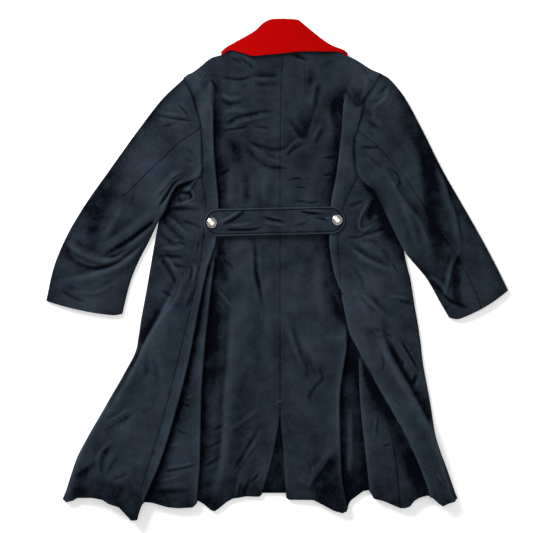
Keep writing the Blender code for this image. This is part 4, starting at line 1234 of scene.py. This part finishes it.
def relief(across, drop, level):
    """Painted shade and highlight of each point: the painted patches and lines, and how far it stands over
    (up to 1) or under (down to -DARKEST) the cloth round it, so hollows and cloth beside folds are painted
    darker and ridges paler.
    """
    row, column = relief_cell(across, drop)
    i, j = row.astype(int), column.astype(int)
    down, right = row - i, column - j
    # The painted patches and lines of shade and highlight, then the painted shade and highlight from the
    # relief round the point
    stands = faded(across, drop) + crease_field(across, drop, SHADES, shoulder=0)
    for around, (_, depth, most) in zip(relief_maps(), RELIEF_BLURS, strict=True):
        upper = around[i, j] * (1 - right) + around[i, j + 1] * right
        lower = around[i + 1, j] * (1 - right) + around[i + 1, j + 1] * right
        stands = stands + np.minimum(most, (level - upper * (1 - down) - lower * down) / depth)
    return np.where(stands < 0, DARKEST * np.tanh(stands / DARKEST), np.minimum(stands, 1))


@functools.cache
def coat_sections(rows=320, front_rows=53, sleeve_rows=208, underlap_rows=80):
    """Arrays of each panel of the body and the sleeves, by node, with their creases."""
    found = {}
    for side, name in ((LEFT, "left"), (RIGHT, "right")):
        found["front_" + name] = front_arrays(side, row_shares(front_rows))
        across, drop, level = back_arrays(side, row_shares(rows))
        level = seam_dip(across, drop, level, first=CENTRE_DIP_WIDTH)
        found["back_" + name] = across, drop, *crease_body(across, drop, level, BACK_LEVEL_LEAST)
        found["side_" + name] = side_arrays(side, row_shares(int(rows * (1 - UNDERARM_SHARE))))
        for top_piece, piece in ((True, "sleeve_top_"), (False, "sleeve_under_")):
            found[piece + name] = sleeve_arrays(side, row_shares(sleeve_rows), top_piece)
    found["vent_underlap"] = underlap_arrays(row_shares(underlap_rows))
    return found


def wool_panel(node, arrays, material, wall=WALL):
    """One cut piece of cloth: a grid moved to its points, with the wall's thickness."""
    points = to_world(*arrays[:3])
    rows, columns = points.shape[:2]
    grid = bmesh.new()
    bmesh.ops.create_grid(grid, x_segments=columns - 1, y_segments=rows - 1, size=0.5)
    mesh = smooth_mesh(node + "_cloth", grid)
    flat = np.empty(len(mesh.vertices) * 3, np.float32)
    mesh.vertices.foreach_get("co", flat)
    column = np.rint((flat[0::3] + 0.5) * (columns - 1)).astype(int)
    row = np.rint((flat[1::3] + 0.5) * (rows - 1)).astype(int)
    mesh.vertices.foreach_set("co", points[row, column].astype(np.float32).ravel())
    # This attribute carries the painted shade and painted highlight into the cloth's colour
    worn = mesh.attributes.new("painted_shade", "FLOAT", "POINT")
    worn.data.foreach_set("value", relief(*arrays[:2], arrays[-1])[row, column].astype(np.float32))
    mesh.update()
    piece = link(node + "_cloth", mesh, material, node)
    thick = piece.modifiers.new("Cloth", "SOLIDIFY")
    thick.thickness = wall * MM
    thick.offset = 0.0


def row_shares(count):
    """Shares of a panel's length, closer together at both ends."""
    even = np.linspace(0, 1, count)
    return np.concatenate([[0, END_ROW], even[1:-1], [1 - END_ROW, 1]])


class Wire:
    """A socket of a finish; sums and products written with it add Math nodes."""

    def __init__(self, finish, socket):
        self.finish = finish
        self.socket = socket

    def maths(self, operation, first, second):
        return self.finish.node("ShaderNodeMath", {"operation": operation}, {0: first, 1: second})

    def __add__(self, other):
        return self.maths("ADD", self, other)

    def __radd__(self, other):
        return self.maths("ADD", other, self)

    def __sub__(self, other):
        return self.maths("SUBTRACT", self, other)

    def __rsub__(self, other):
        return self.maths("SUBTRACT", other, self)

    def __mul__(self, other):
        return self.maths("MULTIPLY", self, other)

    def __rmul__(self, other):
        return self.maths("MULTIPLY", other, self)


class Finish:
    """A material that is written as expressions on its nodes."""

    def __init__(self, name, **constants):
        self.material = bpy.data.materials.new(name)
        self.material.use_nodes = True
        self.tree = self.material.node_tree
        self.shader = self.tree.nodes["Principled BSDF"]
        self.set(**constants)

    def feed(self, socket, value):
        if isinstance(value, Wire):
            self.tree.links.new(value.socket, socket)
        else:
            socket.default_value = value

    def set(self, **sockets):
        """Values or links of the shader's sockets, with an underscore for each space in their names."""
        for name, value in sockets.items():
            self.feed(self.shader.inputs[name.replace("_", " ")], value)

    def node(self, kind, settings=None, sockets=None, output=0):
        node = self.tree.nodes.new(kind)
        for name, value in (settings or {}).items():
            setattr(node, name, value)
        for name, value in (sockets or {}).items():
            self.feed(node.inputs[name], value)
        return Wire(self, node.outputs[output])

    def mix(self, share, first, second):
        """A colour between two others."""
        settings = {"data_type": "RGBA", "blend_type": "MIX", "clamp_factor": True}
        sockets = {MIX_FACTOR: share, MIX_FIRST: first, MIX_SECOND: second}
        return self.node("ShaderNodeMix", settings, sockets, output=MIX_COLOUR)

    def noise(self, scale, detail, roughness=0.5):
        """Noise in the coat's own metres, from 0 to 1."""
        place = self.node("ShaderNodeTexCoord", output="Object")
        sockets = {"Vector": place, "Scale": scale, "Detail": detail, "Roughness": roughness}
        return self.node("ShaderNodeTexNoise", {}, sockets)

    def bump(self, height, distance, strength):
        sockets = {"Height": height, "Distance": distance, "Strength": strength}
        self.set(Normal=self.node("ShaderNodeBump", {}, sockets))


def wool_finish(name, dark, lit, cast, depth=1.0):
    """Napped melton: felted fibres, flecks and broad clouds, with painted shade in hollows and beside folds
    and a painted highlight on ridges, and a second cast in patches."""
    wool = Finish(name, Sheen_Weight=0.02, Sheen_Roughness=0.45, Specular_IOR_Level=0.03)
    wool.set(Sheen_Tint=(0.75, 0.86, 1.0, 1.0))
    nap, felt = wool.noise(scale=620, detail=4, roughness=0.65), wool.noise(scale=150, detail=3)
    cloud, patch = wool.noise(scale=7, detail=3), wool.noise(scale=30, detail=3)
    tinge = wool.noise(scale=12, detail=2)
    # Painted shade and highlight: the tone runs from the dark colour in hollows to the lit one on ridges
    worn = wool.node("ShaderNodeAttribute", {"attribute_name": "painted_shade"}, output="Fac")
    broad = CLOUD_TONE * (cloud - 0.5) + PATCH_TONE * (patch - 0.5)
    tone = EVEN_TONE + PAINTED_SHADE_TONE * worn + depth * broad
    tone = tone + NAP_TONE * (nap - 0.5) + FELT_TONE * (felt - 0.5)
    highlit = wool.mix(CAST_SPREAD * tinge - CAST_FROM, lit, cast)
    wool.set(Base_Color=wool.mix(tone, dark, highlit), Roughness=0.98 - 0.14 * nap)
    wool.bump(nap + 0.7 * felt, distance=0.0009, strength=0.8)
    return wool.material


def navy_finish(name, colours):
    """The coat's own navy wool."""
    return wool_finish(name, colours.navy_dark, colours.navy_lit, colours.navy_cast)


def scaled(colour, share):
    """A colour made darker or paler, whole."""
    return tuple(min(1.0, share * part) for part in colour[:3]) + (1.0,)


def metal_finish(name, colour):
    """Polished pale metal with a little tarnish and fine handling marks."""
    metal = Finish(name, Metallic=1.0)
    tarnish, marks = metal.noise(scale=260, detail=3), metal.noise(scale=900, detail=2)
    metal.set(Base_Color=metal.mix(1.4 * tarnish - 0.35, colour, scaled(colour, 0.72)))
    metal.set(Roughness=0.16 + 0.16 * marks)
    metal.bump(marks, distance=0.00004, strength=0.4)
    return metal.material


def thread_finish(name, colour):
    """Twisted cotton thread."""
    thread = Finish(name, Specular_IOR_Level=0.2)
    fibre = thread.noise(scale=2400, detail=2)
    thread.set(Base_Color=thread.mix(fibre, colour, scaled(colour, 1.9)), Roughness=0.85 - 0.1 * fibre)
    thread.bump(fibre, distance=0.0002, strength=0.6)
    return thread.material


def floor_finish(name, colour):
    """Pale matt paper."""
    paper = Finish(name, Specular_IOR_Level=0.1)
    grain = paper.noise(scale=120, detail=2)
    paper.set(Base_Color=paper.mix(grain, scaled(colour, 0.985), colour), Roughness=0.95 - 0.05 * grain)
    paper.set(Emission_Color=colour, Emission_Strength=GLOW)
    return paper.material


def belt_point(inset, angle_share, reach, radius):
    """(x, y) on a ring of the belt's round-ended outline, at an inset from its edge."""
    half = radius - inset
    straight, bend = 2 * reach, math.pi * radius
    far = (angle_share % 1.0) * 2 * (straight + bend)
    if far < straight:
        return far - reach, -half
    if far < straight + bend:
        angle = (far - straight) / radius - math.pi / 2
        return reach + half * math.cos(angle), half * math.sin(angle)
    if far < 2 * straight + bend:
        return reach - (far - straight - bend), half
    angle = (far - 2 * straight - bend) / radius + math.pi / 2
    return -reach + half * math.cos(angle), half * math.sin(angle)


def belt_to_table(x, y):
    """(across, drop) of a place on the belt."""
    turn = math.cos(BELT_TILT), math.sin(BELT_TILT)
    return BELT_CENTRE[0] + x * turn[0] - y * turn[1], BELT_CENTRE[1] - x * turn[1] - y * turn[0]


def belt_reach():
    """Half the straight part of the belt and the radius of its ends."""
    return BELT_LENGTH / 2 - BELT_WIDTH / 2, BELT_WIDTH / 2


def belt_mesh(around=300):
    """The belt's rings, joined from the middle of its face, round its edge and back underneath."""
    rows = len(BELT_SECTION["inset"])
    grid = bmesh.new()
    bmesh.ops.create_grid(grid, x_segments=around, y_segments=rows - 1, size=0.5)
    painted_shade = grid.verts.layers.float.new("painted_shade")
    row = [round((vert.co.y + 0.5) * (rows - 1)) for vert in grid.verts]
    inset, level, worn = (BELT_SECTION[name][row] for name in ("inset", "level", "worn"))
    places = [
        belt_to_table(*belt_point(inward, vert.co.x + 0.5, *belt_reach()))
        for inward, vert in zip(inset, grid.verts, strict=True)
    ]
    across, drop = np.array(places).T
    on_face = np.clip(inset / BELT_EDGE, 0, 1) * (level > BELT_FACE_LEVEL)
    crease = crease_field(across, drop, BELT_CREASES) * on_face
    points = to_world(across, drop, BELT_LEVEL + level + crease)
    # Painted shade in the creases' troughs and painted highlight on their ridges
    worn = np.clip(worn + crease / BELT_CREASE_DEPTH, *BELT_PAINTED_TONE_RANGE)
    for vert, point, value in zip(grid.verts, points, worn, strict=True):
        vert.co = point
        vert[painted_shade] = value
    bmesh.ops.remove_doubles(grid, verts=grid.verts, dist=SAME_PLACE)
    bmesh.ops.recalc_face_normals(grid, faces=grid.faces)
    return smooth_mesh("half_belt_cloth", grid)


def belt_stitches(pitch):
    """(start, end, level) of the stitches in the groove round the belt."""
    reach, radius = belt_reach()
    count = round(2 * (2 * reach + math.pi * radius) / pitch)
    shares = np.arange(count) / count
    starts = [belt_to_table(*belt_point(BELT_STITCH_INSET, share, reach, radius)) for share in shares]
    ends = [
        belt_to_table(*belt_point(BELT_STITCH_INSET, share + STITCH_SHARE / count, reach, radius))
        for share in shares
    ]
    across, drop = (np.array(starts) + np.array(ends)).T / 2
    level = BELT_LEVEL + BELT_GROOVE + crease_field(across, drop, BELT_CREASES)
    return list(zip(starts, ends, level, strict=True))


def tack(first, second, count, length, level):
    """(start, end, level) of close stitches side by side along a line between two pixels, across it."""
    start, end = np.array(from_px(*first)), np.array(from_px(*second))
    way = (end - start) / np.linalg.norm(end - start)
    beside = np.array([-way[1], way[0]]) * length / 2
    places = [start + (end - start) * k / (count - 1) for k in range(count)]
    return [(place - beside, place + beside, level) for place in places]


def stitch(grid, start, end, level, width=0.9, sides=6, rings=5):
    """A short rounded thread between two places, let into the cloth at both ends."""
    start, end = np.array(start), np.array(end)
    way = (end - start) / np.linalg.norm(end - start)
    beside = np.array([-way[1], way[0]])
    verts = []
    for k in range(rings):
        share = k / (rings - 1)
        across, drop = start + (end - start) * share
        swell = math.sin(math.pi * (STITCH_ENDS + (1 - 2 * STITCH_ENDS) * share))
        ring = []
        for m in range(sides):
            angle = 2 * math.pi * m / sides
            place = np.array([across, drop]) + beside * width / 2 * swell * math.cos(angle)
            stands = swell * (STITCH_ROUND * math.sin(angle) + STITCH_PROUD) - STITCH_SUNK
            ring.append(grid.verts.new(to_world(place[0], place[1], level + width * stands)))
        verts.append(ring)
    for k in range(rings - 1):
        for m in range(sides):
            n = (m + 1) % sides
            grid.faces.new((verts[k][m], verts[k][n], verts[k + 1][n], verts[k + 1][m]))
    grid.faces.new(verts[0][::-1])
    grid.faces.new(verts[-1])


def stitches_mesh(name, places):
    """One mesh of many stitches, from their (start, end, level)."""
    grid = bmesh.new()
    for start, end, level in places:
        stitch(grid, start, end, level)
    bmesh.ops.recalc_face_normals(grid, faces=grid.faces)
    return smooth_mesh(name, grid)


def button_mesh(steps=64):
    """A plain domed button with a thin rim, turned about its middle."""
    rows = list(zip(*BUTTON_PROFILE.values(), strict=True))
    grid = bmesh.new()
    verts = [grid.verts.new((r * BUTTON_RADIUS * MM, 0, h * BUTTON_HEIGHT * MM)) for r, h in rows]
    edges = [grid.edges.new(pair) for pair in zip(verts, verts[1:], strict=False)]
    bmesh.ops.spin(
        grid, geom=verts + edges, cent=(0, 0, 0), axis=(0, 0, 1), angle=2 * math.pi, steps=steps,
        use_merge=True,
    )
    bmesh.ops.remove_doubles(grid, verts=grid.verts, dist=SAME_PLACE)
    bmesh.ops.recalc_face_normals(grid, faces=grid.faces)
    return smooth_mesh("button_metal", grid)


def lay_panels(context, finish, *panels):
    """Panels of the coat in one navy wool, each by its node and what it rests on, which is not used."""
    wool = navy_finish(finish, context.scene.coat_colours)
    for node, under in panels:
        wool_panel(node, coat_sections()[node], wool)


class CoatColours(bpy.types.PropertyGroup):
    """Colours of the coat and the floor."""

    # Dark and lit are the wool's painted shade and painted highlight; the faded cast is a random tint of the
    # lit colour
    navy_dark: bpy.props.FloatVectorProperty(
        name="Navy, dark", description="Wool in the creases", subtype="COLOR", size=4, min=0, max=1,
        default=(0.0008, 0.0012, 0.0034, 1.0),
    )
    navy_lit: bpy.props.FloatVectorProperty(
        name="Navy, rubbed", description="Wool on the ridges", subtype="COLOR", size=4, min=0, max=1,
        default=(0.0235, 0.0360, 0.0480, 1.0),
    )
    navy_cast: bpy.props.FloatVectorProperty(
        name="Navy, faded", description="Patches of wool that have faded", subtype="COLOR", size=4,
        min=0, max=1, default=(0.0265, 0.0325, 0.0470, 1.0),
    )
    thread_dark: bpy.props.FloatVectorProperty(
        name="Thread, dark", description="Stitches round the belt", subtype="COLOR", size=4, min=0, max=1,
        default=(0.0040, 0.0055, 0.0095, 1.0),
    )
    thread_pale: bpy.props.FloatVectorProperty(
        name="Thread, pale", description="Buttonholes and the tack over the vent", subtype="COLOR", size=4,
        min=0, max=1, default=(0.075, 0.090, 0.115, 1.0),
    )
    # Dark and lit are the collar's painted shade and painted highlight
    scarlet_dark: bpy.props.FloatVectorProperty(
        name="Scarlet, dark", description="Collar in the creases", subtype="COLOR", size=4, min=0, max=1,
        default=(0.19, 0.0, 0.0, 1.0),
    )
    scarlet_lit: bpy.props.FloatVectorProperty(
        name="Scarlet, rubbed", description="Collar on its roll", subtype="COLOR", size=4, min=0, max=1,
        default=(0.31, 0.0, 0.0, 1.0),
    )
    metal: bpy.props.FloatVectorProperty(
        name="Metal", description="Belt buttons", subtype="COLOR", size=4, min=0, max=1,
        default=(0.90, 0.87, 0.76, 1.0),
    )
    floor: bpy.props.FloatVectorProperty(
        name="Floor", description="Paper under the coat", subtype="COLOR", size=4, min=0, max=1,
        default=(0.90, 0.90, 0.90, 1.0),
    )


class CoatSizes(bpy.types.PropertyGroup):
    """Sizes of the coat's finish."""

    stitch_pitch: bpy.props.FloatProperty(
        name="Stitch pitch", description="From one belt stitch to the next", default=0.0042, min=0.002,
        max=0.01, unit="LENGTH",
    )


class COAT_OT_fronts(bpy.types.Operator):
    """Lay the two fronts on the floor"""

    bl_idname = "coat.fronts"
    bl_label = "Fronts"

    def execute(self, context):
        under_right = ["floor", "front_left"]
        lay_panels(context, "front wool", ("front_left", ["floor"]), ("front_right", under_right))
        return {"FINISHED"}


class COAT_OT_sides(bpy.types.Operator):
    """Lay the side bodies, with their turned edges"""

    bl_idname = "coat.sides"
    bl_label = "Side bodies"

    def execute(self, context):
        panels = [("side_" + name, ["floor", "front_" + name]) for name in ("left", "right")]
        lay_panels(context, "side wool", *panels)
        return {"FINISHED"}


class COAT_OT_backs(bpy.types.Operator):
    """Lay the pleated backs and the underlap of the vent"""

    bl_idname = "coat.backs"
    bl_label = "Backs"

    def execute(self, context):
        panels = [("back_" + name, ["front_" + name, "vent_underlap"]) for name in ("left", "right")]
        lay_panels(context, "back wool", *panels, ("vent_underlap", ["front_right"]))
        pale = thread_finish("vent thread", context.scene.coat_colours.thread_pale)
        stitches = tack(*VENT_TACK, VENT_TACK_STITCHES, VENT_TACK_LENGTH, VENT_TACK_LEVEL)
        link("vent_tack", stitches_mesh("vent_tack", stitches), pale)
        return {"FINISHED"}


class COAT_OT_sleeves(bpy.types.Operator):
    """Lay the two-piece sleeves"""

    bl_idname = "coat.sleeves"
    bl_label = "Sleeves"

    def execute(self, context):
        panels = [
            (piece + name, ["floor", "side_" + name])
            for name in ("left", "right")
            for piece in ("sleeve_top_", "sleeve_under_")
        ]
        lay_panels(context, "sleeve wool", *panels)
        return {"FINISHED"}


class COAT_OT_collar(bpy.types.Operator):
    """Fold the red collar over its stand"""

    bl_idname = "coat.collar"
    bl_label = "Collar"

    def execute(self, context):
        colours = context.scene.coat_colours
        dark, lit = colours.scarlet_dark, colours.scarlet_lit
        wool = wool_finish("collar wool", dark, lit, lit, COLLAR_TONE_DEPTH)
        wool_panel("collar_stand", stand_arrays(row_shares(STAND_ROWS)), wool)
        fall = collar_arrays(row_shares(COLLAR_ROWS))
        wool_panel("collar_fall", fall, wool, wall=COLLAR_WALL)
        return {"FINISHED"}


class COAT_OT_half_belt(bpy.types.Operator):
    """Lay the half belt over the pleats and stitch its edge"""

    bl_idname = "coat.half_belt"
    bl_label = "Half belt"

    def execute(self, context):
        colours = context.scene.coat_colours
        wool = navy_finish("belt wool", colours)
        belt = link("half_belt_cloth", belt_mesh(), wool, "half_belt")
        pitch = context.scene.coat_sizes.stitch_pitch / MM
        dark = thread_finish("belt thread", colours.thread_dark)
        pale = thread_finish("buttonhole", colours.thread_pale)
        link("belt_stitches", stitches_mesh("belt_stitches", belt_stitches(pitch)), dark)
        holes = []
        for ends in BUTTONHOLES:
            holes += tack(*ends, BUTTONHOLE_STITCHES, BUTTONHOLE_LENGTH, BUTTONHOLE_LEVEL)
        link("buttonholes", stitches_mesh("buttonholes", holes), pale)
        return {"FINISHED"}


class COAT_OT_buttons(bpy.types.Operator):
    """Set the two domed buttons on the belt"""

    bl_idname = "coat.buttons"
    bl_label = "Buttons"

    def execute(self, context):
        metal = metal_finish("button metal", context.scene.coat_colours.metal)
        for side, node in ((LEFT, "button_left"), (RIGHT, "button_right")):
            button = link(node + "_metal", button_mesh(), metal, node)
            across, drop = belt_to_table(side * BUTTON_PITCH / 2, 0)
            button.location = to_world(across, drop, BELT_LEVEL + BELT_THICK / 2 + BUTTON_GAP)
        return {"FINISHED"}


class COAT_OT_stage(bpy.types.Operator):
    """Set the floor, the lights and the camera over the coat"""

    bl_idname = "coat.stage"
    bl_label = "Stage"

    def execute(self, context):
        scene = context.scene
        grid = bmesh.new()
        bmesh.ops.create_grid(grid, x_segments=FLOOR_SQUARES, y_segments=FLOOR_SQUARES, size=FLOOR_HALF)
        mesh = smooth_mesh("floor", grid)
        mesh.materials.append(floor_finish("floor paper", scene.coat_colours.floor))
        floor = bpy.data.objects.new("floor", mesh)
        floor.location.z = -FLOOR_GAP
        scene.collection.objects.link(floor)
        for name, place, size, power in LIGHTS:
            light = bpy.data.lights.new(name, "AREA")
            light.energy = power
            light.size = size
            lamp = bpy.data.objects.new(name, light)
            lamp.location = place
            lamp.rotation_euler = (-lamp.location).to_track_quat("-Z", "Y").to_euler()
            scene.collection.objects.link(lamp)
        world = bpy.data.worlds.new("studio")
        world.use_nodes = True
        sky = world.node_tree.nodes["Background"].inputs
        sky["Color"].default_value = (1, 1, 1, 1)
        sky["Strength"].default_value = WORLD_STRENGTH
        scene.world = world
        scene.view_settings.view_transform = "Standard"
        camera = bpy.data.cameras.new("camera")
        camera.sensor_width = SENSOR
        camera.lens = SENSOR * CAMERA_HEIGHT / (FRAME_PX * PIXEL * MM)
        above = bpy.data.objects.new("camera", camera)
        across, drop = from_px(FRAME_PX / 2, FRAME_PX / 2)
        above.location = to_world(across, drop, CAMERA_HEIGHT / MM)
        scene.collection.objects.link(above)
        scene.camera = above
        return {"FINISHED"}


class COAT_PT_panel(bpy.types.Panel):
    """Coat's pieces and colours"""

    bl_label = "Greatcoat"
    bl_idname = "COAT_PT_panel"
    bl_space_type = "VIEW_3D"
    bl_region_type = "UI"
    bl_category = "Coat"

    def draw(self, context):
        for group in (context.scene.coat_colours, context.scene.coat_sizes):
            for name in group.__annotations__:
                self.layout.prop(group, name)
        for operator in OPERATORS:
            self.layout.operator(operator.bl_idname)


OPERATORS = (
    COAT_OT_fronts, COAT_OT_sides, COAT_OT_backs, COAT_OT_sleeves, COAT_OT_collar, COAT_OT_half_belt,
    COAT_OT_buttons, COAT_OT_stage,
)
CLASSES = (CoatColours, CoatSizes, *OPERATORS, COAT_PT_panel)


def register():
    for kind in CLASSES:
        bpy.utils.register_class(kind)
    bpy.types.Scene.coat_colours = bpy.props.PointerProperty(type=CoatColours)
    bpy.types.Scene.coat_sizes = bpy.props.PointerProperty(type=CoatSizes)


def unregister():
    del bpy.types.Scene.coat_colours
    del bpy.types.Scene.coat_sizes
    for kind in reversed(CLASSES):
        bpy.utils.unregister_class(kind)


def main():
    register()
    bpy.ops.coat.fronts()
    bpy.ops.coat.sides()
    bpy.ops.coat.backs()
    bpy.ops.coat.sleeves()
    bpy.ops.coat.collar()
    bpy.ops.coat.half_belt()
    bpy.ops.coat.buttons()
    bpy.ops.coat.stage()
    bpy.context.view_layer.update()


if __name__ == "__main__":
    main()
